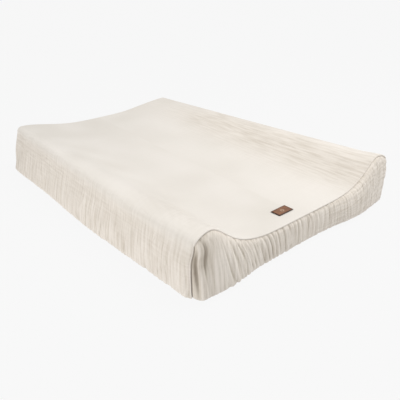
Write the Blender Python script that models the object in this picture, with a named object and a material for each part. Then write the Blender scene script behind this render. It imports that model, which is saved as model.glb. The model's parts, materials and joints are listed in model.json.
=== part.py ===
"""A baby changing mat in its fitted muslin cover, each sewn or moulded piece as its own solid.

Metres, +Z up. The mat lies flat on z = 0 with its origin at the middle of its footprint. The
length runs along Y: the foot end, which carries the leather label, faces -Y, and the head end,
where the lying surface rises, faces +Y. Every layer follows one cross-section, set back inwards
by the thickness of the layers outside it.
"""

import math

import bmesh
import bpy
from mathutils import Matrix, Vector

# ---------------------------------------------------------------- overall shape
MAT_WIDTH = 0.500  # across the finished cover
MAT_LENGTH = 0.700  # along the finished cover
CREST_HEIGHT = 0.110  # top of the two side bolsters
CREST_INSET = 0.039  # from the outer side to the crest line
FOOT_SHOULDER_DROP = 0.022  # at the foot end, from the crest down to the top of the side
HEAD_SHOULDER_DROP = 0.012  # and at the head end
HEAD_LEAN = 0.026  # at the head end, how far the top of each side leans in; at the foot it stands upright
FOOT_FLOOR = 0.056  # height of the lying surface at the foot end
HEAD_FLOOR = 0.088  # and at the head end
FOOT_SHARPNESS = 3.2  # a high value keeps the floor flat and the bolster's slope steep
HEAD_SHARPNESS = 1.7
BASE_RADIUS = 0.010  # rounding where the sides turn under the mat

# ---------------------------------------------------------------- layers and clearances
MUSLIN = 0.0015  # double gauze, as thick as its crinkle stands
LINER = 0.0006  # wipe-clean coated cloth
GAP = 0.0003  # between layers that lie on each other
MITRE_GAP = 0.0006  # between two panels that meet at a corner under the mat
END_INSET = 0.0012  # the end panels sit this far inside the top panel's edge

# ---------------------------------------------------------------- turned-under hem
UNDERLAP = 0.055  # width of cover that is pulled under the mat
CASING_WIDTH = 0.020  # the tube of cloth that holds the elastic
ELASTIC_WIDTH = 0.012
ELASTIC_THICK = 0.0010
CASING_HOLLOW = ELASTIC_THICK + 2 * GAP
HEM_UNDERSIDE = MUSLIN + CASING_HOLLOW  # underside of the turned-under cloth, above the floor
HEM_TOP = HEM_UNDERSIDE + MUSLIN

# ---------------------------------------------------------------- liner and foam, set back from the outline
LINER_SETBACK = MUSLIN + GAP
FOAM_SETBACK = LINER_SETBACK + LINER + GAP
LINER_UNDERLAP = 0.015
COVER_END_FACE = MAT_LENGTH / 2 - END_INSET
LINER_END_FACE = COVER_END_FACE - MUSLIN - GAP
FOAM_END_FACE = LINER_END_FACE - LINER - GAP
LINER_UNDERSIDE = HEM_TOP + GAP

# ---------------------------------------------------------------- zip under the mat
ZIP_END_CLEARANCE = 0.045  # from the hem under the mat to each end of the zip
ZIP_LENGTH = MAT_LENGTH - 2 * (UNDERLAP + ZIP_END_CLEARANCE)
ZIP_SLOT = 0.005  # half the slit between the two base panels
TAPE_THICK = 0.0006
TAPE_INNER = 0.0012  # from the middle line to a tape's edge
TAPE_OUTER = 0.014
TAPE_END = 0.008  # tape that runs on past the teeth
TAPE_TOP = LINER_UNDERSIDE - GAP
TAPE_BOTTOM = TAPE_TOP - TAPE_THICK
TEETH_INNER = 0.0006
TEETH_OUTER = 0.0022
TEETH_HEIGHT = 0.0011
TEETH_TOP = TAPE_BOTTOM - GAP
TEETH_BOTTOM = TEETH_TOP - TEETH_HEIGHT
STOP_LENGTH = 0.0025

# ---------------------------------------------------------------- slider and its pull tab
SLIDER_LENGTH = 0.009
SLIDER_PLATE = 0.0006
SLIDER_HALF_WIDTH = 0.0034
SLIDER_SIDE = 0.0008
SLIDER_POST = 0.0003  # half the web that joins the two plates
LIP_CLEARANCE = 0.0004  # between the slider's side lips and the tapes
INNER_PLATE_HALF = 0.0028
INNER_PLATE_THICK = 0.0005
PLATE_TOP = TEETH_BOTTOM - GAP
PLATE_BOTTOM = PLATE_TOP - SLIDER_PLATE
CROWN_HALF_WIDTH = 0.0008
CROWN_HALF_LENGTH = 0.0022
CROWN_WALL = 0.0009
CROWN_BOTTOM = 0.0002
CROWN_ROOF = 0.0004
PULL_THICK = 0.0006
PULL_AXIS_HEIGHT = (CROWN_BOTTOM + CROWN_ROOF + PLATE_BOTTOM) / 2  # middle of the crown's opening
PULL_ARM_INNER = CROWN_HALF_WIDTH + GAP
PULL_ARM_OUTER = 0.0018
PULL_WINDOW = CROWN_HALF_LENGTH + 0.0004  # from the bar's axis to the window's far edge
PULL_NECK = 0.0012  # beyond the window, before the tab widens
PULL_LENGTH = 0.020
PULL_HALF_WIDTH = 0.0026
PULL_TIP_HOLE = 0.0010
REST_SLIDER_Y = ZIP_LENGTH / 2 - SLIDER_LENGTH / 2  # closed, against the stops at the head end
PULL_AXIS = (0.0, REST_SLIDER_Y, PULL_AXIS_HEIGHT)

# ---------------------------------------------------------------- trim
LABEL_FROM_FOOT = 0.035  # from the foot seam to the middle of the label
LABEL_X, LABEL_Y = -0.018, LABEL_FROM_FOOT - MAT_LENGTH / 2
LABEL_WIDTH, LABEL_DEPTH, LABEL_THICK = 0.036, 0.021, 0.0012
STITCH_MARGIN = 0.0022
STITCH_WIDTH = 0.0007
STITCH_HEIGHT = 0.0004
SEAM_THREAD = 0.0004  # radius
CARE_TAG_X, CARE_TAG_WIDTH, CARE_TAG_LENGTH, CARE_TAG_THICK = -0.120, 0.028, 0.034, 0.0004

VALLEY_STEPS = 24
SHOULDER_STEPS = 6
CORNER_STEPS = 4
TIP_STEPS = 8
ROWS = 6  # along the mat, from the foot to the head
SHARP_ANGLE = math.radians(35)
CUTTER_MARGIN = 0.001  # how far a cutter stands past what it cuts
CLEAR_OF_EDGE = 0.002  # smallest piece of a wall's upright side that is worth a point of its own


def clear_scene():
    for obj in list(bpy.data.objects):
        bpy.data.objects.remove(obj, do_unlink=True)


def material(name, colour, roughness, metallic=0.0):
    made = bpy.data.materials.new(name)
    made.use_nodes = True
    shader = made.node_tree.nodes["Principled BSDF"]
    shader.inputs["Base Color"].default_value = (*colour, 1.0)
    shader.inputs["Roughness"].default_value = roughness
    shader.inputs["Metallic"].default_value = metallic
    return made


def close_mesh(name, bm, look):
    """Turns a closed bmesh into a named object with its faces pointing out."""
    bmesh.ops.remove_doubles(bm, verts=bm.verts, dist=1e-6)
    bmesh.ops.recalc_face_normals(bm, faces=bm.faces)
    return finish_mesh(name, bm, look)


def finish_mesh(name, bm, look):
    """Turns a bmesh into a named object, as it is."""
    mesh = bpy.data.meshes.new(name)
    bm.to_mesh(mesh)
    bm.free()
    mesh.materials.append(look)
    mesh.shade_smooth()
    mesh.set_sharp_from_angle(angle=SHARP_ANGLE)
    obj = bpy.data.objects.new(name, mesh)
    bpy.context.scene.collection.objects.link(obj)
    return obj


def helper(obj):
    obj.hide_render = True
    obj.display_type = "WIRE"
    return obj


def move_origin(obj, point):
    """Puts an object's origin at a point and leaves its shape where it is."""
    obj.data.transform(Matrix.Translation(-Vector(point)))
    obj.location = point
    return obj


def combine(obj, other, operation):
    boolean = obj.modifiers.new(operation.lower(), "BOOLEAN")
    boolean.operation = operation
    boolean.object = helper(other)
    boolean.solver = "EXACT"
    return obj


def thicken(obj, thickness):
    """Gives an open sheet its thickness on the inner side."""
    solidify = obj.modifiers.new("thickness", "SOLIDIFY")
    solidify.thickness = thickness
    solidify.offset = -1
    solidify.use_even_offset = True
    return obj


# ---------------------------------------------------------------- the cross-section
def between_ends(foot, head, y):
    """A value that runs evenly from the foot end to the head end, at y."""
    return foot + (head - foot) * (y / MAT_LENGTH + 0.5)


def valley_height(x, y):
    """Height of the lying surface between the two crests."""
    floor = between_ends(FOOT_FLOOR, HEAD_FLOOR, y)
    sharpness = between_ends(FOOT_SHARPNESS, HEAD_SHARPNESS, y)
    across = abs(x) / (MAT_WIDTH / 2 - CREST_INSET)
    return floor + (CREST_HEIGHT - floor) * (1 - math.cos(math.pi * across**sharpness)) / 2


def half_outline(y):
    """Right half of the outer outline at y, from the bottom corner up to the middle, as (x, z)."""
    side = MAT_WIDTH / 2
    crest = side - CREST_INSET
    shoulder = CREST_INSET - between_ends(0.0, HEAD_LEAN, y)
    drop = between_ends(FOOT_SHOULDER_DROP, HEAD_SHOULDER_DROP, y)
    points = []
    for i in range(CORNER_STEPS + 1):
        angle = math.pi / 2 * i / CORNER_STEPS
        points.append((side - BASE_RADIUS * (1 - math.sin(angle)),
                       HEM_UNDERSIDE + BASE_RADIUS * (1 - math.cos(angle))))
    for i in range(SHOULDER_STEPS + 1):
        angle = math.pi / 2 * i / SHOULDER_STEPS
        points.append((crest + shoulder * math.cos(angle), CREST_HEIGHT - drop * (1 - math.sin(angle))))
    for i in range(1, VALLEY_STEPS // 2 + 1):
        x = crest * (1 - 2 * i / VALLEY_STEPS)
        points.append((x, valley_height(x, y)))
    return points


def outline(y, setback, underlap):
    """The whole outline at y, set back inwards, from the right edge under the mat to the left one.

    Each point is (x, z, tuck), where tuck is how far in under the mat it lies, with the
    setback counted, or 0 on the upright sides and the top.
    """
    half = [(MAT_WIDTH / 2 - underlap, HEM_UNDERSIDE)] + half_outline(y)
    ring = half + [(-x, z) for x, z in reversed(half[:-1])]
    placed = []
    for i, (x, z) in enumerate(ring):
        before = Vector(ring[max(i - 1, 0)])
        after = Vector(ring[min(i + 1, len(ring) - 1)])
        if i in (1, len(ring) - 2):  # where the flat underside meets the rounding
            along = Vector((1, 0))
        else:
            along = (after - before).normalized()
        inward = Vector((-along.y, along.x))
        moved = Vector((x, z)) + inward * setback
        turned_under = z < HEM_UNDERSIDE + BASE_RADIUS * 0.999
        placed.append((moved.x, moved.y, MAT_WIDTH / 2 - abs(moved.x) if turned_under else 0.0))
    return placed


# ---------------------------------------------------------------- sewn layers
def extrude_rows(bm, rows, closed):
    """Runs a line of points through each row in turn and splits its faces the same way in every layer."""
    verts = [bm.verts.new(point) for point in rows[0]]
    pairs = list(zip(verts, verts[1:])) + ([(verts[-1], verts[0])] if closed else [])
    edges = [bm.edges.new(pair) for pair in pairs]
    places = rows[0]
    for row in rows[1:]:
        extruded = bmesh.ops.extrude_edge_only(bm, edges=edges)["geom"]
        edges = [item for item in extruded if isinstance(item, bmesh.types.BMEdge)]
        for vert in [item for item in extruded if isinstance(item, bmesh.types.BMVert)]:
            vert.co = row[min(range(len(places)), key=lambda i: (places[i] - vert.co).length)]
        places = row
    bmesh.ops.triangulate(bm, faces=bm.faces, quad_method="FIXED")


def wrap_panel(name, setback, thickness, underlap, end_face, look):
    """The panel that covers the top and the two long sides, and turns in under the mat."""
    rows = []
    for i in range(ROWS + 1):
        share = 2 * i / ROWS - 1
        row = []
        for x, z, tuck in outline(share * end_face, setback, underlap):
            reach = MAT_LENGTH / 2 - tuck - thickness - MITRE_GAP if tuck else end_face
            row.append(Vector((x, share * min(reach, end_face), z)))
        rows.append(row)
    bm = bmesh.new()
    extrude_rows(bm, rows, closed=False)
    face_outwards(bm)
    return thicken(finish_mesh(name, bm, look), thickness)


def face_outwards(bm):
    """Turns an open sheet so that its faces look away from the middle of the mat."""
    bmesh.ops.recalc_face_normals(bm, faces=bm.faces)
    middle = Vector((0, 0, CREST_HEIGHT / 4))
    outward = [(face.calc_center_median() - middle).dot(face.normal) * face.calc_area() for face in bm.faces]
    if sum(outward) < 0:
        bmesh.ops.reverse_faces(bm, faces=bm.faces)


def base_rounding(end_face):
    """(tuck, rise) steps of the rounded bottom edge of a layer whose end stands at end_face."""
    radius = BASE_RADIUS - (COVER_END_FACE - end_face)
    angles = [math.pi / 2 * i / CORNER_STEPS for i in range(CORNER_STEPS + 1)]
    return [(radius * (1 - math.cos(angle)), radius * (1 - math.sin(angle))) for angle in angles]


def end_panel(name, direction, setback, thickness, underlap, end_face, look):
    """An end wall: it fills the wrap panel's mouth, rounds the bottom edge and turns under the mat."""
    bottom = HEM_UNDERSIDE + setback - thickness - GAP
    steps = base_rounding(end_face)
    half_width = MAT_WIDTH / 2 - setback
    top_of_rounding = bottom + steps[0][1]
    upright = [(x, z) for x, z, tuck in outline(direction * end_face, setback, underlap)
               if z > top_of_rounding + CLEAR_OF_EDGE]
    wall = [(half_width, top_of_rounding)] + upright + [(-half_width, top_of_rounding)]
    bm = bmesh.new()
    verts = [bm.verts.new((x, direction * end_face, z)) for x, z in wall]
    bm.faces.new(verts)
    edge = bm.edges.get((verts[0], verts[-1]))
    offset = MAT_LENGTH / 2 - end_face
    for tuck, rise in steps[1:] + [(underlap - offset, 0.0)]:
        extruded = bmesh.ops.extrude_edge_only(bm, edges=[edge])["geom"]
        edge = next(item for item in extruded if isinstance(item, bmesh.types.BMEdge)
                    and all(vert in extruded for vert in item.verts))
        reach = MAT_WIDTH / 2 - offset - tuck - thickness - MITRE_GAP
        for vert in edge.verts:
            vert.co = (math.copysign(reach, vert.co.x), direction * (end_face - tuck), bottom + rise)
    face_outwards(bm)
    return thicken(finish_mesh(name, bm, look), thickness)


def foam_block(name, look):
    """The contoured block that gives the mat its shape, cut to length with its lower end edges rounded."""
    rows = []
    for i in range(ROWS + 1):
        y = (2 * i / ROWS - 1) * MAT_LENGTH / 2
        rows.append([Vector((x, y, z)) for x, z, _ in outline(y, FOAM_SETBACK, UNDERLAP)[1:-1]])
    bm = bmesh.new()
    extrude_rows(bm, rows, closed=True)
    bmesh.ops.holes_fill(bm, edges=[edge for edge in bm.edges if edge.is_boundary], sides=0)
    foam = close_mesh(name, bm, look)
    bottom = HEM_UNDERSIDE + FOAM_SETBACK
    rounding = base_rounding(FOAM_END_FACE)
    inner = FOAM_END_FACE - rounding[-1][0]
    right = [(FOAM_END_FACE, CREST_HEIGHT)]
    right += [(FOAM_END_FACE - tuck, bottom + rise) for tuck, rise in rounding]
    right.append((inner, bottom - BASE_RADIUS))
    profile = right + [(-y, z) for y, z in reversed(right)]
    keep = prism(name + "_keep", profile, "X", -MAT_WIDTH / 2, MAT_WIDTH / 2, look)
    return combine(foam, keep, "INTERSECT")


# ---------------------------------------------------------------- plain solids
def block(name, low, high, look):
    bm = bmesh.new()
    bmesh.ops.create_cube(bm, size=1)
    low, high = Vector(low), Vector(high)
    size = high - low
    bmesh.ops.scale(bm, vec=size, verts=bm.verts)
    bmesh.ops.translate(bm, vec=(low + high) / 2, verts=bm.verts)
    return close_mesh(name, bm, look)


def prism(name, polygon, axis, low, high, look):
    """A closed polygon drawn across one axis and extruded along it from low to high."""
    k = "XYZ".index(axis)
    bm = bmesh.new()
    face = bm.faces.new([bm.verts.new([*point[:k], low, *point[k:]]) for point in polygon])
    extruded = bmesh.ops.extrude_face_region(bm, geom=[face])["geom"]
    moved = [item for item in extruded if isinstance(item, bmesh.types.BMVert)]
    bmesh.ops.translate(bm, vec=[(high - low) * (i == k) for i in range(3)], verts=moved)
    return close_mesh(name, bm, look)


def hem_casing(name, side, direction, look):
    """One side of the casing: a channel of cloth that carries the elastic, mitred at both ends.

    side is "X" for a strip along a long side and "Y" for one along an end.
    """
    inner, outer = UNDERLAP, UNDERLAP - CASING_WIDTH
    top = HEM_UNDERSIDE - GAP
    channel = [(outer, 0), (inner, 0), (inner, top), (inner - MUSLIN, top), (inner - MUSLIN, MUSLIN),
               (outer + MUSLIN, MUSLIN), (outer + MUSLIN, top), (outer, top)]
    across, along = (MAT_WIDTH, MAT_LENGTH) if side == "X" else (MAT_LENGTH, MAT_WIDTH)

    def place(tuck, z, end):
        reach = end * (along / 2 - tuck - MITRE_GAP)
        away = direction * (across / 2 - tuck)
        return Vector((away, reach, z)) if side == "X" else Vector((reach, away, z))

    bm = bmesh.new()
    face = bm.faces.new([bm.verts.new(place(tuck, z, -1)) for tuck, z in channel])
    extruded = bmesh.ops.extrude_face_region(bm, geom=[face])["geom"]
    moved = [item for item in extruded if isinstance(item, bmesh.types.BMVert)]
    starts = [place(tuck, z, -1) for tuck, z in channel]
    for vert in moved:
        nearest = min(range(len(starts)), key=lambda i: (starts[i] - vert.co).length)
        vert.co = place(*channel[nearest], 1)
    return close_mesh(name, bm, look)


def elastic_ring(name, look):
    """The flat elastic that runs all the way round inside the four casings."""
    middle = UNDERLAP - CASING_WIDTH / 2
    low = MUSLIN + GAP
    bm = bmesh.new()
    loops = []
    for tuck in (middle - ELASTIC_WIDTH / 2, middle + ELASTIC_WIDTH / 2):
        half_x, half_y = MAT_WIDTH / 2 - tuck, MAT_LENGTH / 2 - tuck
        corners = [(half_x, half_y), (-half_x, half_y), (-half_x, -half_y), (half_x, -half_y)]
        verts = [bm.verts.new((x, y, low)) for x, y in corners]
        loops += [bm.edges.new((verts[i - 1], verts[i])) for i in range(4)]
    faces = bmesh.ops.bridge_loops(bm, edges=loops)["faces"]
    extruded = bmesh.ops.extrude_face_region(bm, geom=faces)["geom"]
    moved = [item for item in extruded if isinstance(item, bmesh.types.BMVert)]
    bmesh.ops.translate(bm, vec=(0, 0, ELASTIC_THICK), verts=moved)
    return close_mesh(name, bm, look)


# ---------------------------------------------------------------- threads and label
def seam_thread(name, direction, look):
    """The line of thread in the corner where an end panel meets the top panel's edge."""
    setback = MUSLIN + GAP + SEAM_THREAD
    run = [(x, z) for x, z, tuck in outline(direction * MAT_LENGTH / 2, setback, UNDERLAP) if not tuck]
    lowest = HEM_UNDERSIDE + BASE_RADIUS + CLEAR_OF_EDGE
    run = [point for point in run if point[1] > lowest]
    curve = bpy.data.curves.new(name, "CURVE")
    curve.dimensions = "3D"
    curve.bevel_depth = SEAM_THREAD
    curve.bevel_resolution = 1
    curve.use_fill_caps = True
    spline = curve.splines.new("POLY")
    spline.points.add(len(run) - 1)
    y = direction * (COVER_END_FACE + SEAM_THREAD + GAP / 2)
    for point, (x, z) in zip(spline.points, run):
        point.co = (x, y, z, 1)
    curve.materials.append(look)
    obj = bpy.data.objects.new(name, curve)
    bpy.context.scene.collection.objects.link(obj)
    return obj


def label_frame():
    """Place and slope of the lying surface under the label."""
    ends = [valley_height(LABEL_X, LABEL_Y + side * LABEL_DEPTH / 2) for side in (-1, 1)]
    slope = (ends[1] - ends[0]) / LABEL_DEPTH
    place = Vector((LABEL_X, LABEL_Y, valley_height(LABEL_X, LABEL_Y)))
    return Matrix.Translation(place) @ Matrix.Rotation(math.atan(slope), 4, "X")


def leather_label(look):
    half = Vector((LABEL_WIDTH / 2, LABEL_DEPTH / 2, 0))
    obj = block("leather_label", (-half.x, -half.y, GAP), (half.x, half.y, GAP + LABEL_THICK), look)
    obj.matrix_world = label_frame()
    return obj


def label_stitching(look):
    """The run of thread round the label, as one flat ring on its face."""
    low = GAP + LABEL_THICK + GAP
    outer = (LABEL_WIDTH / 2 - STITCH_MARGIN, LABEL_DEPTH / 2 - STITCH_MARGIN)
    inner = (outer[0] - STITCH_WIDTH, outer[1] - STITCH_WIDTH)
    high = low + STITCH_HEIGHT
    ring = block("label_stitching", (-outer[0], -outer[1], low), (*outer, high), look)
    hole = block("label_stitching_hole", (-inner[0], -inner[1], low - CUTTER_MARGIN),
                 (*inner, high + CUTTER_MARGIN), look)
    ring.matrix_world = label_frame()
    hole.matrix_world = label_frame()
    return combine(ring, hole, "DIFFERENCE")


def care_tag(look):
    """The blank sewn-in tag that lies on the base beside the head casing."""
    start = MAT_LENGTH / 2 - UNDERLAP - GAP
    top = TAPE_BOTTOM
    return block("care_tag", (CARE_TAG_X - CARE_TAG_WIDTH / 2, start - CARE_TAG_LENGTH, top - CARE_TAG_THICK),
                 (CARE_TAG_X + CARE_TAG_WIDTH / 2, start, top), look)


# ---------------------------------------------------------------- zip
def base_panel(name, direction, look):
    """Half of the liner's base, from the zip out to the turned-in side panel."""
    outer = MAT_WIDTH / 2 - LINER_UNDERLAP - GAP
    half_length = MAT_LENGTH / 2 - LINER_UNDERLAP - GAP
    xs = sorted((direction * ZIP_SLOT, direction * outer))
    top = LINER_UNDERSIDE + LINER
    return block(name, (xs[0], -half_length, LINER_UNDERSIDE), (xs[1], half_length, top), look)


def zip_strip(name, direction, inner, outer, low, high, half_length, look):
    xs = sorted((direction * inner, direction * outer))
    return block(name, (xs[0], -half_length, low), (xs[1], half_length, high), look)


def zip_stop(name, x_low, x_high, end, look):
    ys = sorted((end * (ZIP_LENGTH / 2 + GAP), end * (ZIP_LENGTH / 2 + GAP + STOP_LENGTH)))
    return block(name, (x_low, ys[0], TEETH_BOTTOM), (x_high, ys[1], TEETH_TOP), look)


def zip_slider(look):
    """Two plates joined by a web, with lips that hold the teeth and a crown for the pull."""
    lip_top = TAPE_BOTTOM - LIP_CLEARANCE
    inner_plate = LINER_UNDERSIDE
    right = [(SLIDER_HALF_WIDTH, PLATE_BOTTOM), (SLIDER_HALF_WIDTH, lip_top),
             (SLIDER_HALF_WIDTH - SLIDER_SIDE, lip_top), (SLIDER_HALF_WIDTH - SLIDER_SIDE, PLATE_TOP),
             (SLIDER_POST, PLATE_TOP), (SLIDER_POST, inner_plate), (INNER_PLATE_HALF, inner_plate),
             (INNER_PLATE_HALF, inner_plate + INNER_PLATE_THICK)]
    section = right + [(-x, z) for x, z in reversed(right)]
    half = SLIDER_LENGTH / 2
    body = prism("zip_slider", section, "Y", REST_SLIDER_Y - half, REST_SLIDER_Y + half, look)
    reach, opening = CROWN_HALF_LENGTH, CROWN_HALF_LENGTH - CROWN_WALL
    sunk = PLATE_BOTTOM + SLIDER_PLATE / 2
    arch = [(-reach, sunk), (-reach, CROWN_BOTTOM), (reach, CROWN_BOTTOM), (reach, sunk), (opening, sunk),
            (opening, CROWN_BOTTOM + CROWN_ROOF), (-opening, CROWN_BOTTOM + CROWN_ROOF), (-opening, sunk)]
    arch = [(REST_SLIDER_Y + y, z) for y, z in arch]
    crown = prism("zip_slider_crown", arch, "X", -CROWN_HALF_WIDTH, CROWN_HALF_WIDTH, look)
    return combine(move_origin(body, PULL_AXIS), crown, "UNION")


def zip_pull(look):
    """The pull tab: its end bar passes through the slider's crown, and it turns about that bar."""
    half_bar = PULL_THICK / 2
    neck = -PULL_WINDOW - PULL_NECK
    plan = [(PULL_ARM_OUTER, half_bar), (-PULL_ARM_OUTER, half_bar), (-PULL_ARM_OUTER, neck)]
    tip_centre = -PULL_LENGTH + PULL_HALF_WIDTH
    for i in range(TIP_STEPS + 1):
        angle = math.pi * i / TIP_STEPS
        plan.append((-PULL_HALF_WIDTH * math.cos(angle), tip_centre - PULL_HALF_WIDTH * math.sin(angle)))
    plan.append((PULL_ARM_OUTER, neck))
    low, high = PULL_AXIS_HEIGHT - half_bar, PULL_AXIS_HEIGHT + half_bar
    tab = prism("zip_pull", [(x, REST_SLIDER_Y + y) for x, y in plan], "Z", low, high, look)
    window = block("zip_pull_window", (-PULL_ARM_INNER, REST_SLIDER_Y - PULL_WINDOW, low - CUTTER_MARGIN),
                   (PULL_ARM_INNER, REST_SLIDER_Y - half_bar, high + CUTTER_MARGIN), look)
    bm = bmesh.new()
    bmesh.ops.create_cone(bm, cap_ends=True, segments=16, radius1=PULL_TIP_HOLE, radius2=PULL_TIP_HOLE,
                          depth=PULL_THICK + 2 * CUTTER_MARGIN)
    bmesh.ops.translate(bm, vec=(0, REST_SLIDER_Y + tip_centre, PULL_AXIS_HEIGHT), verts=bm.verts)
    hole = close_mesh("zip_pull_hole", bm, look)
    combine(move_origin(tab, PULL_AXIS), window, "DIFFERENCE")
    return combine(tab, hole, "DIFFERENCE")


def build():
    clear_scene()
    muslin = material("muslin", (0.80, 0.74, 0.66), 0.95)
    coated = material("coated_cloth", (0.86, 0.87, 0.88), 0.45)
    foam = material("foam", (0.88, 0.84, 0.72), 0.95)
    elastic = material("elastic", (0.90, 0.90, 0.89), 0.80)
    thread = material("thread", (0.74, 0.68, 0.60), 0.80)
    leather = material("leather", (0.27, 0.12, 0.05), 0.55)
    satin = material("satin_tag", (0.93, 0.93, 0.92), 0.40)
    tape = material("zip_tape", (0.88, 0.88, 0.87), 0.85)
    nylon = material("zip_teeth", (0.90, 0.90, 0.89), 0.35)
    metal = material("zip_metal", (0.72, 0.72, 0.72), 0.30, 1.0)

    foam_block("foam_core", foam)
    wrap_panel("liner_top_panel", LINER_SETBACK, LINER, LINER_UNDERLAP, LINER_END_FACE, coated)
    wrap_panel("cover_top_panel", 0.0, MUSLIN, UNDERLAP, MAT_LENGTH / 2, muslin)
    for end, direction in (("foot", -1), ("head", 1)):
        end_panel(f"liner_{end}_end", direction, FOAM_SETBACK, LINER, LINER_UNDERLAP, LINER_END_FACE, coated)
        end_panel(f"cover_{end}_end", direction, LINER_SETBACK, MUSLIN, UNDERLAP, COVER_END_FACE, muslin)
        hem_casing(f"hem_casing_{end}", "Y", direction, muslin)
        seam_thread(f"seam_thread_{end}", direction, thread)
    for hand, direction in (("left", -1), ("right", 1)):
        hem_casing(f"hem_casing_{hand}", "X", direction, muslin)
        base_panel(f"liner_base_{hand}", direction, coated)
        zip_strip(f"zip_tape_{hand}", direction, TAPE_INNER, TAPE_OUTER, TAPE_BOTTOM, TAPE_TOP,
                  ZIP_LENGTH / 2 + TAPE_END, tape)
        zip_strip(f"zip_teeth_{hand}", direction, TEETH_INNER, TEETH_OUTER, TEETH_BOTTOM, TEETH_TOP,
                  ZIP_LENGTH / 2, nylon)
        stop_edges = sorted((direction * TEETH_INNER, direction * TEETH_OUTER))
        zip_stop(f"zip_top_stop_{hand}", *stop_edges, 1, metal)
    zip_stop("zip_bottom_stop", -TEETH_OUTER, TEETH_OUTER, -1, metal)
    elastic_ring("hem_elastic", elastic)
    zip_slider(metal)
    zip_pull(metal)
    leather_label(leather)
    label_stitching(thread)
    care_tag(satin)


build()
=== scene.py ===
# %% [markdown]
# # A baby changing mat in its fitted muslin cover
# The real object is a contoured block of foam in a wipe-clean liner, and over that a fitted cover
# of crinkled double gauze. An elastic in the hem pulls the cover in under the mat, so its four
# sides are gathered into soft folds. This first cell loads the imported model as a fixed frame and
# keeps its box.

# %% Load the frame
import json
import math

import bmesh
import bpy
import numpy as np
from mathutils import Matrix, Vector

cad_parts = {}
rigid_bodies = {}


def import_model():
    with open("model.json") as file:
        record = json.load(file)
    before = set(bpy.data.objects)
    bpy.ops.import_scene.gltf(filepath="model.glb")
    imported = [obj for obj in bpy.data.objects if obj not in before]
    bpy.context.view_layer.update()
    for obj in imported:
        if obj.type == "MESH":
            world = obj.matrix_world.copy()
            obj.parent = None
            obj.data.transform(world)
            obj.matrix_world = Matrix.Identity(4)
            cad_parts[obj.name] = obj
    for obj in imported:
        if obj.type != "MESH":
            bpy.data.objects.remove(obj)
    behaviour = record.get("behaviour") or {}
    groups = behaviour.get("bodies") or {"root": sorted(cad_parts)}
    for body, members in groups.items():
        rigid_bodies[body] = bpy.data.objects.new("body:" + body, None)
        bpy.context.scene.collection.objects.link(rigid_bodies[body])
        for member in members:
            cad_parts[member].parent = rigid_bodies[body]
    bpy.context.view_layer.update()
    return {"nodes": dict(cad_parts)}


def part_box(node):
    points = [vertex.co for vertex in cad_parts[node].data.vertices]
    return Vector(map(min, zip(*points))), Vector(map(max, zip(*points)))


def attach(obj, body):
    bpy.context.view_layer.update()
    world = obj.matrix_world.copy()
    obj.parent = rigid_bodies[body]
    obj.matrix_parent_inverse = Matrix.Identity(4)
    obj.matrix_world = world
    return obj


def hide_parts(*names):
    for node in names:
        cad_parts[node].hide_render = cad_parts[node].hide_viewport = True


for left_over in list(bpy.data.objects):
    bpy.data.objects.remove(left_over, do_unlink=True)
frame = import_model()

# %% [markdown]
# ## Measures
# Every layer follows one cross-section, so its few measures come first. The outer sizes are read
# from the frame. The rest are the same values that shaped the frame: how far the crest of each
# bolster stands in from the side, how low the lying surface is at either end, and how much cloth
# is pulled in under the mat.

# %% Measures of the cover, in metres
cover_low, cover_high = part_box("cover_top_panel")
MAT_WIDTH = cover_high.x - cover_low.x
MAT_LENGTH = cover_high.y - cover_low.y
CREST_HEIGHT = cover_high.z
CREST_INSET = 0.039  # of a bolster's crest from the side
FOOT_SHOULDER_DROP, HEAD_SHOULDER_DROP = 0.022, 0.012  # from the crest down to the top of the side
HEAD_LEAN = 0.026  # how far the sides lean in at the head end
FOOT_FLOOR, HEAD_FLOOR = 0.056, 0.088  # height of the lying surface at either end
FOOT_SHARPNESS, HEAD_SHARPNESS = 3.2, 1.7  # higher makes a flatter floor and steeper bolsters
BASE_RADIUS = 0.010
UNDERLAP = 0.055  # of cloth turned in under the mat
HEM_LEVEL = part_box("hem_casing_left")[1].z + 0.0006  # the turned-under cloth, just above its casing
HALF_WIDTH, HALF_LENGTH = MAT_WIDTH / 2, MAT_LENGTH / 2
LINER_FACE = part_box("liner_top_panel")[1].y
LINER_END_FACE = LINER_FACE - 0.0012
LEAST_GAP = 0.0004  # that a crease in an end wall keeps from the liner
CREST_X = HALF_WIDTH - CREST_INSET
print("mat", round(MAT_WIDTH, 4), round(MAT_LENGTH, 4), "crest", round(CREST_HEIGHT, 4))


# %% [markdown]
# ## Camera, floor and light
# The camera stands low off the foot corner and looks along the mat. A wide pale floor and a pale
# world give the even studio background. The main lamp hangs high over the foot end, a little to
# the right, and a weak one stands low on the left. So the top is brightest, the long side is a
# little darker and the foot end darkest.

# %% Camera
CAMERA_PLACE = Vector((-0.5646, -0.7611, 0.4227))
VIEW_DIRECTION = Vector((0.5689, 0.6948, -0.4399))
VIEW_RIGHT = Vector((0.7737, -0.6335, 0.0))
VIEW_UP = Vector((0.2787, 0.3403, 0.8980))
CAMERA_ROLL = math.radians(-1.80)
LENS, SENSOR_WIDTH = 40.9, 36  # millimetres


def place_object(name, data):
    """A new object in the scene with this mesh, lamp or camera."""
    obj = bpy.data.objects.new(name, data)
    bpy.context.scene.collection.objects.link(obj)
    return obj


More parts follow.
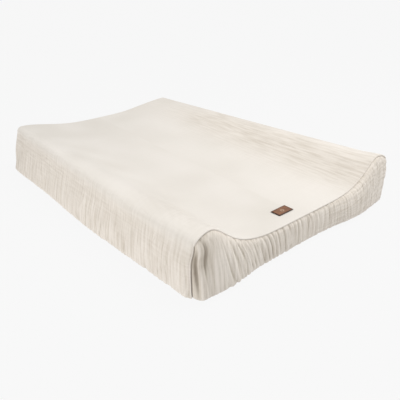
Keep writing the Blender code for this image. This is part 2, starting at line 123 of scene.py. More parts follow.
def add_camera():
    right = math.cos(CAMERA_ROLL) * VIEW_RIGHT + math.sin(CAMERA_ROLL) * VIEW_UP
    up = math.cos(CAMERA_ROLL) * VIEW_UP - math.sin(CAMERA_ROLL) * VIEW_RIGHT
    turn = Matrix((right, up, -VIEW_DIRECTION)).transposed().to_4x4()
    data = bpy.data.cameras.new("camera")
    data.lens, data.sensor_width = LENS, SENSOR_WIDTH
    camera = place_object("camera", data)
    camera.matrix_world = Matrix.Translation(CAMERA_PLACE) @ turn
    bpy.context.scene.camera = camera
    print("camera at", [round(v, 3) for v in CAMERA_PLACE])


add_camera()

# %% Floor, world and lamps
FLOOR_SIZE = 30.0
FLOOR_DROP = 0.0006  # of the floor below the mat
FLOOR_GLOW = 0.925
FLOOR_COLOUR = (0.99, 0.99, 0.99)
FLOOR_REFLECTED = (0.02, 0.02, 0.02)  # dark, so that the glow alone sets how pale it looks
SKY_STRENGTH = 0.62
BACKDROP_STRENGTH = 0.93
KEY_LAMP = ("key_lamp", (0.50, -0.55, 1.50), (0, -0.05, 0.05), 1.0, 16.2)
LEFT_FILL = ("left_fill", (-1.20, -0.12, 0.21), (0, -0.10, 0.05), 0.4, 3.6)


def mesh_from(bm, name):
    """A mesh with what was made in a bmesh, which is then freed."""
    mesh = bpy.data.meshes.new(name)
    bm.to_mesh(mesh)
    bm.free()
    return mesh


def clear_from_below(look):
    """Lets a view from under the floor see through it."""
    nodes, links = look.node_tree.nodes, look.node_tree.links
    below = nodes.new("ShaderNodeNewGeometry").outputs["Backfacing"]
    either = nodes.new("ShaderNodeMixShader")
    links.new(below, either.inputs["Fac"])
    links.new(nodes["Principled BSDF"].outputs["BSDF"], either.inputs[1])
    links.new(nodes.new("ShaderNodeBsdfTransparent").outputs["BSDF"], either.inputs[2])
    links.new(either.outputs["Shader"], nodes["Material Output"].inputs["Surface"])


def add_floor():
    bm = bmesh.new()
    bmesh.ops.create_grid(bm, x_segments=2, y_segments=2, size=FLOOR_SIZE)
    bmesh.ops.translate(bm, vec=(0, 0, -FLOOR_DROP), verts=bm.verts)
    mesh = mesh_from(bm, "floor")
    floor = place_object("floor", mesh)
    look = bpy.data.materials.new("floor_paper")
    look.use_nodes = True
    shader = look.node_tree.nodes["Principled BSDF"]
    shader.inputs["Base Color"].default_value = (*FLOOR_REFLECTED, 1)
    shader.inputs["Roughness"].default_value = 1.0
    shader.inputs["Specular IOR Level"].default_value = 0.0
    shader.inputs["Emission Color"].default_value = (*FLOOR_COLOUR, 1)
    shader.inputs["Emission Strength"].default_value = FLOOR_GLOW
    clear_from_below(look)
    mesh.materials.append(look)


def add_world():
    """An even sky that lights softly, and that looks as pale as the floor."""
    world = bpy.data.worlds.new("studio")
    world.use_nodes = True
    nodes, links = world.node_tree.nodes, world.node_tree.links
    background = nodes["Background"]
    background.inputs["Color"].default_value = (1, 1, 1, 1)
    seen = nodes.new("ShaderNodeLightPath").outputs["Is Camera Ray"]
    strength = nodes.new("ShaderNodeMix")
    strength.inputs["A"].default_value = SKY_STRENGTH
    strength.inputs["B"].default_value = BACKDROP_STRENGTH
    links.new(seen, strength.inputs["Factor"])
    links.new(strength.outputs["Result"], background.inputs["Strength"])
    bpy.context.scene.world = world


def add_area_lamp(name, place, target, size, watts):
    data = bpy.data.lights.new(name, "AREA")
    data.shape = "DISK"
    data.size = size
    data.energy = watts
    lamp = place_object(name, data)
    aim = (Vector(target) - Vector(place)).to_track_quat("-Z", "Y")
    lamp.matrix_world = Matrix.Translation(place) @ aim.to_matrix().to_4x4()


add_floor()
add_world()
add_area_lamp(*KEY_LAMP)
add_area_lamp(*LEFT_FILL)
bpy.context.scene.view_settings.view_transform = "Standard"
print("sky", SKY_STRENGTH, "lamps in watts", KEY_LAMP[-1], LEFT_FILL[-1])


# %% [markdown]
# ## The cross-section as numbers
# A fitted cover is one long strip over the top and both sides, closed by an end panel at the foot
# and at the head. To lay cloth on the shape, a grid is made once and its points are moved to the
# places that a formula gives. Here is the formula: a count of steps along the half section, from
# the hem under the mat, round the bottom edge, up the side, over the shoulder and down into the
# lying surface.

# %% Shape helpers
FLANGE_STEPS, CORNER_STEPS, SIDE_STEPS, SHOULDER_STEPS, VALLEY_STEPS = 10, 6, 28, 18, 30
HALF_STEPS = FLANGE_STEPS + CORNER_STEPS + SIDE_STEPS + SHOULDER_STEPS + VALLEY_STEPS


def between_ends(foot, head, y):
    """A value that runs evenly from the foot end to the head end, at y."""
    return foot + (head - foot) * (y / MAT_LENGTH + 0.5)


def smooth_step(low, high, value):
    """0 below low, 1 above high, and a soft change between them."""
    t = np.clip((value - low) / (high - low), 0.0, 1.0)
    return t * t * (3 - 2 * t)


def valley_height(x, y):
    """Height of the lying surface between the two crests."""
    floor = between_ends(FOOT_FLOOR, HEAD_FLOOR, y)
    sharpness = between_ends(FOOT_SHARPNESS, HEAD_SHARPNESS, y)
    across = np.clip(np.abs(x) / CREST_X, 0.0, 1.0)
    return floor + (CREST_HEIGHT - floor) * (1 - np.cos(math.pi * across**sharpness)) / 2


def half_section(step, y, setback=0.0, underlap=UNDERLAP):
    """(x, z) on the right half of the cross-section, step squares from the hem, set back inwards."""
    shoulder = CREST_INSET - between_ends(0.0, HEAD_LEAN, y)
    drop = between_ends(FOOT_SHOULDER_DROP, HEAD_SHOULDER_DROP, y)
    radius = BASE_RADIUS
    marks = np.cumsum([0, FLANGE_STEPS, CORNER_STEPS, SIDE_STEPS, SHOULDER_STEPS, VALLEY_STEPS])
    part = [np.clip((step - marks[i]) / (marks[i + 1] - marks[i]), 0, 1) for i in range(5)]
    low_turn = part[1] * math.pi / 2
    high_turn = part[3] * math.pi / 2
    foot_of_side = HEM_LEVEL + radius
    top_of_side = CREST_HEIGHT - drop
    hem_x = HALF_WIDTH - underlap
    x = hem_x + (HALF_WIDTH - radius - hem_x) * part[0]
    z = np.full_like(x, HEM_LEVEL + setback)
    on_corner = step > marks[1]
    x = np.where(on_corner, HALF_WIDTH - radius + (radius - setback) * np.sin(low_turn), x)
    z = np.where(on_corner, foot_of_side - (radius - setback) * np.cos(low_turn), z)
    on_side = step > marks[2]
    lean = (CREST_X + shoulder - HALF_WIDTH) * part[2]
    x = np.where(on_side, HALF_WIDTH + lean - setback, x)
    z = np.where(on_side, foot_of_side + (top_of_side - foot_of_side) * part[2], z)
    on_shoulder = step > marks[3]
    x = np.where(on_shoulder, CREST_X + (shoulder - setback) * np.cos(high_turn), x)
    z = np.where(on_shoulder, top_of_side + (drop - setback) * np.sin(high_turn), z)
    on_valley = step > marks[4]
    x = np.where(on_valley, CREST_X * (1 - part[4]), x)
    z = np.where(on_valley, valley_height(x, y) - setback, z)
    return x, z


# %% [markdown]
# ## Random but repeatable unevenness
# Gathered cloth never repeats itself, yet the script has to give the same folds each time. The
# helper below fills a table with seeded random heights and reads it smoothly. The second helper
# turns that into gathers: rounded ridges with narrow creases between them, which is how a pulled
# hem puckers cloth.

# %% Noise and gathers
TABLE_SIZE = 256


def noise(across, along, seed):
    """Smooth random heights from -1 to 1, about one bump for each unit of across and of along."""
    table = np.random.default_rng(seed).uniform(-1, 1, (TABLE_SIZE, TABLE_SIZE))
    across, along = np.broadcast_arrays(across, along)
    i, j = np.floor(across).astype(int), np.floor(along).astype(int)
    s, t = across - i, along - j
    s, t = s * s * (3 - 2 * s), t * t * (3 - 2 * t)
    i, j = i % TABLE_SIZE, j % TABLE_SIZE
    i_next, j_next = (i + 1) % TABLE_SIZE, (j + 1) % TABLE_SIZE
    near = table[i, j] * (1 - s) + table[i_next, j] * s
    far = table[i, j_next] * (1 - s) + table[i_next, j_next] * s
    return near * (1 - t) + far * t


def gathers(across, along, pitch, seed, wander=0.9, run=0.05):
    """Ridges about pitch apart that wander sideways and come and go along their run."""
    drift = wander * noise(across / (2.6 * pitch), along / run, seed)
    drift += 0.45 * wander * noise(across / (1.1 * pitch), along / (0.5 * run), seed + 1)
    ridge = np.abs(np.sin(math.pi * (across / pitch + drift))) ** 0.85
    depth = 0.60 + 0.40 * noise(across / (1.3 * pitch), along / (0.8 * run), seed + 2)
    return (ridge - 0.50) * depth


# %% [markdown]
# ## From a grid to a sheet of cloth
# Each panel starts as a flat bmesh grid, and its points are then moved to their places. The grid
# keeps a UV map in metres of flat cloth, so the weave in the material stays the right size and
# follows the panel round every bend. A second value on each point says how deep it lies in a
# fold, which the material uses to paint shade there by darkening the colour.

# %% Sheet maker
def grid_normals(places):
    """Unit normals of a grid of places[row, column]."""
    along_rows = np.gradient(places, axis=0)
    along_columns = np.gradient(places, axis=1)
    normals = np.cross(along_columns, along_rows)
    return normals / np.maximum(np.linalg.norm(normals, axis=2, keepdims=True), 1e-12)


def running_length(places, axis):
    """Distance run along one axis of a grid of places, averaged over the other."""
    steps = np.linalg.norm(np.diff(places, axis=axis), axis=2).mean(axis=1 - axis)
    return np.concatenate([[0.0], np.cumsum(steps)])


def cloth_sheet(name, places, flat, values, look, outward):
    """A mesh grid moved to places[row, column], with flat cloth coordinates and point values."""
    rows, columns = places.shape[0] - 1, places.shape[1] - 1
    bm = bmesh.new()
    bmesh.ops.create_grid(bm, x_segments=columns, y_segments=rows, size=1)
    mesh = mesh_from(bm, name)
    start = np.empty(len(mesh.vertices) * 3, np.float32)
    mesh.vertices.foreach_get("co", start)
    start = start.reshape(-1, 3)
    column = np.rint((start[:, 0] + 1) / 2 * columns).astype(int)
    row = np.rint((start[:, 1] + 1) / 2 * rows).astype(int)
    mesh.vertices.foreach_set("co", places[row, column].astype(np.float32).ravel())
    uv_map = mesh.uv_layers.new(name="cloth")
    corner = np.empty(len(mesh.loops), np.int32)
    mesh.loops.foreach_get("vertex_index", corner)
    uv_map.data.foreach_set("uv", flat[row, column][corner].astype(np.float32).ravel())
    for key, field in values.items():
        layer = mesh.attributes.new(key, "FLOAT", "POINT")
        layer.data.foreach_set("value", field[row, column].astype(np.float32))
    mesh.update()
    middle_face = mesh.polygons[len(mesh.polygons) // 2]
    if middle_face.normal.dot(Vector(outward)) < 0:
        mesh.flip_normals()
    mesh.shade_smooth()
    mesh.materials.append(look)
    print(name, len(mesh.polygons), "faces")
    return place_object(name, mesh)


# %% [markdown]
# ## Soft shape of the whole mat
# The frame is a crisp block. Real gathered cloth rounds its corners in plan, swells a little over
# the foam at the ends of the bolsters, and billows low on the long sides where the elastic has
# slack. These helpers move any layer's points the same way, so the layers stay together.

# %% Rounding and swelling
LOW_CORNER_RADIUS, HIGH_CORNER_RADIUS = 0.019, 0.008
LEFT_CREST_DROP, RIGHT_CREST_DROP = 0.0012, 0.0055
SHOULDER_LEAN_IN = 0.0070  # at the foot end's left side
CORNER_FILL_OUT = 0.0065  # at the foot end's right side
SEAM_RISE = 0.0017  # of the foot seam, all along
SEAM_HUMPS = ((0.0019, -0.135, 0.035), (0.0018, -0.215, 0.022), (0.0022, 0.222, 0.016))
FOOT_SWELL, HEAD_SWELL = 0.0055, 0.0040  # of an end panel between its humps
LEFT_BILLOW, RIGHT_BILLOW = 0.0088, 0.0055


def round_corners(places):
    """Rounds the four corners in plan, more near the floor than at the crest."""
    x, y, z = places[..., 0], places[..., 1], places[..., 2]
    high = smooth_step(0.045, 0.100, z)
    radius = LOW_CORNER_RADIUS + (HIGH_CORNER_RADIUS - LOW_CORNER_RADIUS) * high
    dx = np.maximum(np.abs(x) - (HALF_WIDTH - radius), 0.0)
    dy = np.maximum(np.abs(y) - (HALF_LENGTH - radius), 0.0)
    reach = np.maximum(dx, dy)
    shrink = np.where(reach > 0, reach / np.maximum(np.hypot(dx, dy), 1e-9), 1.0)
    rounded = places.copy()
    rounded[..., 0] -= np.sign(x) * dx * (1 - shrink)
    rounded[..., 1] -= np.sign(y) * dy * (1 - shrink)
    return rounded


def lower_crests(places):
    """Presses the crests a little, the right one more, as the pulled cover does."""
    pressed = places.copy()
    x, z = places[..., 0], places[..., 2]
    right = RIGHT_CREST_DROP * smooth_step(0.11, 0.20, x)
    left = LEFT_CREST_DROP * smooth_step(0.12, 0.20, -x)
    pressed[..., 2] = z - (right + left) * smooth_step(0.03, 0.10, z)
    return pressed


def hump(value, centre, width):
    return np.exp(-(((value - centre) / width) ** 2))


def shape_foot_end(places):
    """The foot end's left shoulder leans in, its right corner fills out and its seam stands up."""
    x, y, z = places[..., 0], places[..., 1], places[..., 2]
    near_foot = 1 - smooth_step(-0.35, -0.15, y)
    lean_in = SHOULDER_LEAN_IN * hump(z, 0.090, 0.016) * smooth_step(0.19, 0.235, -x)
    fill_out = CORNER_FILL_OUT * hump(z, 0.060, 0.045) * smooth_step(0.19, 0.25, x)
    at_seam = 1 - smooth_step(0.0, 0.055, y + HALF_LENGTH)
    raised = SEAM_RISE + sum(height * hump(x, middle, width) for height, middle, width in SEAM_HUMPS)
    shaped = places.copy()
    shaped[..., 0] += (lean_in + fill_out) * near_foot
    shaped[..., 2] += raised * at_seam * smooth_step(0.020, 0.052, z)
    return shaped


def soften(places):
    return lower_crests(shape_foot_end(round_corners(places)))


def swell(share):
    """How far a wall swells between the floor (0) and its seam (1): full low down, none at the seam."""
    above = np.clip((share - 0.40) / 0.60, 0, 1)
    return 0.93 + 0.07 * smooth_step(0.0, 0.3, share) - (1 - np.sqrt(1 - above**2.2))


def billow(share):
    """How far a long side billows between the floor (0) and its shoulder (1): it eases out upwards."""
    return (0.90 + 0.10 * smooth_step(0.0, 0.3, share)) * (1 - smooth_step(0.35, 1.0, share))


def end_swell(x, direction):
    """Outward swelling of an end panel across its width, in metres."""
    if direction < 0:
        return FOOT_SWELL + 0.0105 * hump(x, -0.195, 0.062) + 0.0105 * hump(x, 0.155, 0.070)
    return HEAD_SWELL + 0.0070 * hump(x, -0.195, 0.055) + 0.0070 * hump(x, 0.195, 0.055)


def side_swell(y, hand):
    """Outward swelling of a long side along its length, in metres."""
    if hand < 0:
        uneven = 0.0009 * noise(y / 0.035, 0 * y, 81) * (1 - smooth_step(0.25, 0.34, np.abs(y)))
        return LEFT_BILLOW * hump(y, -0.06, 0.19) + 0.0015 * hump(y, 0.30, 0.05) + uneven
    return RIGHT_BILLOW * hump(y, 0.0, 0.20) + 0.0005


# %% [markdown]
# ## Muslin
# Double gauze is two thin plain weaves caught together, so it dries into small soft crinkles. The
# visible folds are in the mesh. The material adds what is finer than the mesh: the crinkle between
# the catches, the open weave, a faint cloudiness of the undyed cotton, and the soft sheen of
# brushed fibre at a grazing angle. It also paints shade into the colour: darker in the depths of
# the folds, along the crinkle lines and wherever the cloth is crinkled. Its roughness and sheen
# are single values, so they are set straight on the shader.

# %% Node helpers
def new_material(name, colour, roughness, **settings):
    """A material with its shader's plain values set, and its nodes, links and shader."""
    look = bpy.data.materials.new(name)
    look.use_nodes = True
    nodes, links = look.node_tree.nodes, look.node_tree.links
    shader = nodes["Principled BSDF"]
    shader.inputs["Base Color"].default_value = (*colour, 1)
    shader.inputs["Roughness"].default_value = roughness
    for key, value in settings.items():
        shader.inputs[key.replace("_", " ")].default_value = value
    return look, nodes, links, shader


def add_node(nodes, kind, **settings):
    """A node with its settings, each either an input's value or a property."""
    node = nodes.new(kind)
    for key, value in settings.items():
        if key in node.inputs:
            node.inputs[key].default_value = value
        else:
            setattr(node, key, value)
    return node


def mapped(nodes, links, source, scale, turn=0.0):
    mapping = add_node(nodes, "ShaderNodeMapping")
    mapping.inputs["Scale"].default_value = scale
    mapping.inputs["Rotation"].default_value = (0, 0, turn)
    links.new(source, mapping.inputs["Vector"])
    return mapping.outputs["Vector"]


def ramp(nodes, links, source, stops):
    """A colour that follows a value, given as (place, colour) stops."""
    made = add_node(nodes, "ShaderNodeValToRGB")
    elements = made.color_ramp.elements
    while len(elements) < len(stops):
        elements.new(0.5)
    for element, (place, colour) in zip(elements, stops):
        element.position = place
        element.color = (*colour, 1)
    links.new(source, made.inputs["Fac"])
    return made.outputs["Color"]


def noise_node(nodes, links, vector, scale, detail=2.0, distortion=0.0):
    made = add_node(nodes, "ShaderNodeTexNoise", Scale=scale, Detail=detail, Distortion=distortion)
    links.new(vector, made.inputs["Vector"])
    return made.outputs["Fac"]


def math_node(nodes, links, operation, first, second):
    """The sum, product and so on of two outputs or numbers."""
    made = add_node(nodes, "ShaderNodeMath", operation=operation)
    for socket, value in zip(made.inputs, (first, second)):
        if isinstance(value, (int, float)):
            socket.default_value = value
        else:
            links.new(value, socket)
    return made.outputs["Value"]


def mix_colours(nodes, links, blend, factor, first, second):
    """Two colours mixed, by a number or by an output."""
    made = add_node(nodes, "ShaderNodeMix", data_type="RGBA", blend_type=blend)
    if isinstance(factor, (int, float)):
        made.inputs["Factor"].default_value = factor
    else:
        links.new(factor, made.inputs["Factor"])
    colour_inputs = [socket for socket in made.inputs if socket.type == "RGBA"]
    for socket, value in zip(colour_inputs, (first, second)):
        if isinstance(value, tuple):
            socket.default_value = (*value, 1)
        else:
            links.new(value, socket)
    return next(socket for socket in made.outputs if socket.type == "RGBA")


def add_bump(nodes, links, height, distance, strength, before=None):
    """A bump on top of another bump, or of the plain surface."""
    made = add_node(nodes, "ShaderNodeBump", Distance=distance, Strength=strength)
    links.new(height, made.inputs["Height"])
    if before is not None:
        links.new(before, made.inputs["Normal"])
    return made.outputs["Normal"]


def cloth_place(nodes):
    """The place on the flat cloth, in metres."""
    return add_node(nodes, "ShaderNodeUVMap", uv_map="cloth").outputs["UV"]


def piece_place(nodes):
    """The place on the piece itself, in metres."""
    return add_node(nodes, "ShaderNodeTexCoord").outputs["Object"]


def point_value(nodes, key):
    """A value that the mesh keeps for each point."""
    return add_node(nodes, "ShaderNodeAttribute", attribute_name=key).outputs["Fac"]


def texture(nodes, links, kind, vector, output, **settings):
    """One output of a wave or cell texture that reads the given places."""
    made = add_node(nodes, kind, **settings)
    links.new(vector, made.inputs["Vector"])
    return made.outputs[output]


def grey(value):
    return (value, value, value)


WAVES_PER_METRE = 0.314  # the wave texture's scale at a pitch of one metre


def weave_height(nodes, links, vector, pitch):
    """Heights of a plain weave, pitch metres from thread to thread."""
    total = None
    for direction in ("X", "Y"):
        height = texture(nodes, links, "ShaderNodeTexWave", vector, "Fac", bands_direction=direction,
                         Scale=WAVES_PER_METRE / pitch, Distortion=0.5)
        total = height if total is None else math_node(nodes, links, "ADD", total, height)
    return total


# %% Muslin material
SMOOTH_MUSLIN = (0.810, 0.768, 0.716)
# The darker crinkled colour is painted shade of the fine crinkles.
CRINKLE_SHADED_MUSLIN = (0.790, 0.728, 0.658)
THREAD_PITCH = 0.00075


def muslin_material():
    look, nodes, links, shader = new_material(
        "muslin", SMOOTH_MUSLIN, 0.92, Sheen_Weight=0.22, Sheen_Roughness=0.55, Specular_IOR_Level=0.15)
    cloth = cloth_place(nodes)
    fold = point_value(nodes, "fold")
    crinkled = point_value(nodes, "crinkle")
    # Where the cloth is crinkled, the base colour darkens: painted shade.
    plain = mix_colours(nodes, links, "MIX", crinkled, SMOOTH_MUSLIN, CRINKLE_SHADED_MUSLIN)
    clouds = noise_node(nodes, links, cloth, 9.0, 3.0)
    cloudy = ramp(nodes, links, clouds, [(0.35, (0.985, 0.985, 0.98)), (0.65, (1.0, 1.0, 1.0))])
    # The fold value paints shade: the colour darkens in the depths of the folds.
    fold_shade = ramp(nodes, links, fold,
                [(0.0, (0.47, 0.44, 0.40)), (0.34, (0.84, 0.83, 0.80)), (0.60, (1, 1, 1))])
    clouds_and_painted_shade = mix_colours(nodes, links, "MULTIPLY", 1.0, cloudy, fold_shade)
    # Streak and cross lines darken the colour where the cloth is crinkled. This is painted shade of the
    # crinkle lines. The same lines also make the crinkle bump.
    streaks = noise_node(nodes, links, mapped(nodes, links, cloth, (210, 15, 1)), 1.0, 3.0, 0.25)
    cross = noise_node(nodes, links, mapped(nodes, links, cloth, (18, 230, 1)), 1.0, 3.0, 0.25)
    crossed = point_value(nodes, "crossed")
    lines = mix_colours(nodes, links, "MIX", crossed, streaks, cross)
    shaded = ramp(nodes, links, lines, [(0.32, (0.80, 0.78, 0.745)), (0.60, (1, 1, 1))])
    clouds_and_painted_shade = mix_colours(nodes, links, "MULTIPLY", crinkled, clouds_and_painted_shade, shaded)
    links.new(mix_colours(nodes, links, "MULTIPLY", 1.0, plain, clouds_and_painted_shade), shader.inputs["Base Color"])

    crinkle_height = math_node(nodes, links, "MULTIPLY", lines, crinkled)
    bumped = add_bump(nodes, links, crinkle_height, 0.0018, 0.85)
    weave = weave_height(nodes, links, cloth, THREAD_PITCH)
    bumped = add_bump(nodes, links, weave, 0.00012, 0.5, bumped)
    links.new(bumped, shader.inputs["Normal"])
    return look


MUSLIN = muslin_material()
print("muslin thread pitch", THREAD_PITCH)


# %% [markdown]
# ## Top panel of the cover
# One long piece of muslin makes the lying surface, both bolsters and both long sides, and turns in
# under the mat. It is one grid: across it runs from hem to hem, along it from the foot to the
# head. Its two cut edges are rolled over the seams to the end panels, which gives the bright
# rounded rim there. The folds are pushed out along the surface's own normals and fade over the
# shoulder, because the top is pulled smooth.

# %% Wrap of any layer
ALONG_STEPS = 500
ROLL_STEPS = 8
ROLL_RADIUS = 0.0015
ROLL_TURN = math.radians(200)
EDGE_Y = HALF_LENGTH - ROLL_RADIUS
MAT_MIDDLE = np.array((0.0, 0.0, 0.03))
WRAP_GAP = 0.0016  # between the smooth cover and the liner's wrap, less the least gap


def wrap_places(rows, stride, edge_y, setback, underlap):
    """Places[row, column] of a smooth layer over the top and both sides, with its steps and its y."""
    columns = np.arange(0, 2 * HALF_STEPS + 1, stride)
    right = columns <= HALF_STEPS
    step = np.where(right, columns, 2 * HALF_STEPS - columns).astype(float)
    step_grid, y_grid = np.meshgrid(step, np.linspace(-edge_y, edge_y, rows + 1))
    x, z = half_section(step_grid, y_grid, setback, underlap)
    x = np.where(right[None, :], x, -x)
    tuck = HALF_WIDTH - np.abs(x)
    under = step_grid < FLANGE_STEPS + CORNER_STEPS
    mitre = np.where(under, (HALF_LENGTH - tuck) / HALF_LENGTH, 1.0)
    return np.stack([x, y_grid * mitre, z], axis=-1), step_grid, y_grid


def swell_sides(places, step, y):
    """Lets the long sides billow, most in their lower part."""
    hand = np.sign(places[..., 0])
    top = CREST_HEIGHT - between_ends(FOOT_SHOULDER_DROP, HEAD_SHOULDER_DROP, y)
    share = np.clip(places[..., 2] / top, 0, 1)
    amount = np.where(hand < 0, side_swell(y, -1), side_swell(y, 1)) * billow(share)
    beyond_side = step > FLANGE_STEPS + CORNER_STEPS + SIDE_STEPS
    amount = np.where(beyond_side, 0, amount * np.clip(step / FLANGE_STEPS, 0, 1))
    swollen = places.copy()
    swollen[..., 0] += hand * amount
    return swollen


def outward_normals(places):
    normals = grid_normals(places)
    facing = ((places - MAT_MIDDLE) * normals).sum(axis=2).sum()
    return normals if facing > 0 else -normals


# %% Folds of the top panel
LEFT_SHIFT = 3.0  # metres further along the noise, so that the two sides get folds of their own
# Over FULL_FOLD the painted fold shade runs from darkest to palest.
FULL_FOLD = 0.0036  # difference in height that runs the fold colour from darkest to palest
RIB_HEIGHT, RIB_GAP = 0.0022, 0.0190  # the main gathers of a long side: height, and pitch along it
MID_HEIGHT, MID_GAP = 0.0013, 0.0100
FINE_HEIGHT, FINE_GAP = 0.0009, 0.0056
CROSSING_HEIGHT, CROSSING_GAP = 0.0009, 0.0080  # creases that run along the mat under the shoulder
RIPPLE_HEIGHT, RIPPLE_GAP = 0.0006, 0.0090  # soft lines on the slope of the right bolster
PULL_HEIGHT, PULL_GAP = 0.0006, 0.011  # strained lines near the foot end of the left bolster
PUFF_HEIGHT = 0.0002


def top_panel_folds(places, y):
    """Height of the folds along the normal, and the three values that the material reads."""
    length = running_length(places, 1)[None, :]
    from_hem = np.minimum(length, length[0, -1] - length) + 0 * y
    left = places[..., 0] < 0
    height = from_hem - UNDERLAP
    along = from_hem + np.where(left, LEFT_SHIFT, 0.0)
    reach = 0.080 + 0.018 * noise(y / 0.030, 0 * y, 11) + 0.012 * noise(y / 0.012, 0 * y, 12)
    rear = 1 - 0.65 * smooth_step(0.22, 0.34, y)
    fade = (1 - smooth_step(reach - 0.050, reach + 0.012, height)) * rear
    low = 1 - smooth_step(0.0, 0.110, height)
    tall = 1 - smooth_step(0.078, 0.112, height)
    ribs = RIB_HEIGHT * gathers(y, along, RIB_GAP, 21, run=0.10) * fade * (0.45 + 0.55 * low)
    mid = MID_HEIGHT * gathers(y, along, MID_GAP, 25, run=0.06) * fade
    fine = FINE_HEIGHT * gathers(y, along, FINE_GAP, 31, run=0.04) * tall
    upper = hump(height, 0.080, 0.030) * (0.35 + 0.65 * smooth_step(-0.15, 0.25, y))
    crossing = CROSSING_HEIGHT * gathers(along, y, CROSSING_GAP, 41, run=0.05) * upper
    on_top = smooth_step(0.095, 0.13, height)
    puffs = PUFF_HEIGHT * noise(y / 0.06, along / 0.06, 51) * on_top
    slope = hump(places[..., 0], 0.175, 0.055) * (1 - 0.7 * smooth_step(0.05, 0.30, y))
    ripples = RIPPLE_HEIGHT * slope * gathers(
        from_hem + 0.12 * y, y, RIPPLE_GAP, 61, run=0.20, wander=0.35)
    stretch = hump(places[..., 0], -0.20, 0.03) * (1 - smooth_step(-0.30, -0.12, y))
    pulls = PULL_HEIGHT * gathers(from_hem - 0.35 * y, y, PULL_GAP, 71, run=0.08) * stretch
    folds = ribs + mid + fine + crossing + puffs + ripples + pulls
    # crinkle sets where the crinkle bump and its painted shade go. crossed chooses cross lines over
    # streaks.
    crinkle = 0.06 + 0.94 * (1 - smooth_step(0.080, 0.118, height)) + 0.70 * slope + 0.3 * stretch
    crossed = 0.12 + 0.80 * slope + 0.45 * upper + 0.30 * on_top
    # The fold value paints shade into the colour where the folds sink. Most of the slope's ripples are
    # left out of it.
    depth = 0.5 + (folds - 0.7 * ripples) / FULL_FOLD
    return folds, np.clip(depth, 0, 1), np.clip(crinkle, 0, 1), np.clip(crossed, 0, 1)


# %% Rolled rim and the panel itself
def roll_edges(places, normals):
    """Adds the rolled rim at the foot and head edges as extra rows of places."""
    turns = np.linspace(0, ROLL_TURN, ROLL_STEPS + 1)[1:]
    ends = []
    for row, direction in ((0, -1.0), (-1, 1.0)):
        outward = np.array([0.0, direction, 0.0])
        ends.append([places[row] + ROLL_RADIUS * (math.sin(t) * outward - (1 - math.cos(t)) * normals[row])
                     for t in turns])
    return np.concatenate([np.array(ends[0][::-1]), places, np.array(ends[1])])


def add_rows(field):
    """Repeats a field's first and last row for the rows of the rolled rims."""
    before, after = (np.repeat(edge, ROLL_STEPS, 0) for edge in (field[:1], field[-1:]))
    return np.concatenate([before, field, after])


def cover_top_panel():
    plain, step, y = wrap_places(ALONG_STEPS, 1, EDGE_Y, 0.0, UNDERLAP)
    swollen = swell_sides(plain, step, y)
    room = WRAP_GAP + np.abs(swollen[..., 0] - plain[..., 0])
    places = soften(swollen)
    normals = outward_normals(places)
    folds, depth, crinkle, crossed = top_panel_folds(places, y)
    near_seam = 1 - 0.6 * (1 - smooth_step(0.0, 0.012, EDGE_Y - np.abs(y)))
    under = smooth_step(0.0, FLANGE_STEPS + CORNER_STEPS, step)
    folds = np.maximum(folds * near_seam * (0.25 + 0.75 * under), -room)
    moved = places + normals * folds[..., None]
    moved[..., 2] = np.maximum(moved[..., 2], HEM_LEVEL - 0.0004)
    moved = roll_edges(moved, normals)
    length = running_length(moved, 1)
    tall_y = add_rows(y)
    flat = np.stack([tall_y, np.broadcast_to(length[None, :], tall_y.shape)], axis=-1)
    values = {"fold": add_rows(depth), "crinkle": add_rows(crinkle), "crossed": add_rows(crossed)}
    panel = cloth_sheet("cover_top", moved, flat, values, MUSLIN, (0, 0, 1))
    settle(panel, "pad", "muslin", "cover_top_panel")


def settle(piece, body, slot, *nodes):
    """Says which body a piece rides on and the CAD nodes that it stands for, which it hides; slot is not
    used.
    """
    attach(piece, body)
    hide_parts(*nodes)


cover_top_panel()


# %% [markdown]
# ## End panels of the cover
# Each end panel fills the mouth of the top panel and is gathered into it. Its wall has four
# sides: its foot, the seam above, and a stretch of the corner seam at each side. A Coons patch
# blends the four into a grid of places, so that columns run down the wall in the direction of the
# gathers. Rows for the bottom edge and for the cloth turned under the mat are added below it.

# %% Coons patch for an end wall
END_COLUMNS = 520
WALL_STEPS, END_CORNER_STEPS, END_FLANGE_STEPS = 48, 8, 12
SEAM_SETBACK = 2 * ROLL_RADIUS - 0.0002
CORNER_SHARE = 0.5  # how much of the shoulder belongs to the panel's own side
SEAM_RECESS = 0.0012  # how far the panel starts behind the face of the rim
CORNER_ROOM = 0.0006  # how deep a crease may go where the panel turns under


def coons(bottom, top, left, right):
    """A grid of places[row, column] that fills the space inside four curves."""
    u = np.linspace(0, 1, bottom.shape[0])[None, :, None]
    v = np.linspace(0, 1, left.shape[0])[:, None, None]
    ruled = (1 - v) * bottom[None] + v * top[None] + (1 - u) * left[:, None] + u * right[:, None]
    corners = ((1 - u) * (1 - v) * bottom[0] + u * (1 - v) * bottom[-1]
               + (1 - u) * v * top[0] + u * v * top[-1])
    return ruled - corners


def resample(curve, count):
    """The same curve with count + 1 places at even distances."""
    steps = np.linalg.norm(np.diff(curve, axis=0), axis=1)
    run = np.concatenate([[0], np.cumsum(steps)])
    even = np.linspace(0, run[-1], count + 1)
    return np.stack([np.interp(even, run, curve[:, k]) for k in range(curve.shape[1])], axis=-1)


def end_wall(direction, setback, columns, rows):
    """Wall[row, column] of (x, z) up to the seam, and the curve of its top edge."""
    start = FLANGE_STEPS + CORNER_STEPS
    step = np.linspace(start, HALF_STEPS, 400)
    x, z = half_section(step, np.full_like(step, direction * HALF_LENGTH), setback)
    right = np.stack([x, z], axis=-1)
    left = right * np.array([-1.0, 1.0])
    split = np.searchsorted(step, start + SIDE_STEPS + CORNER_SHARE * SHOULDER_STEPS)
    top = resample(np.concatenate([left[split:], right[split:][::-1]]), columns)
    sides = [resample(side[: split + 1], rows) for side in (left, right)]
    bottom = np.linspace(sides[0][0], sides[1][0], columns + 1)
    return coons(bottom, top, *sides), top


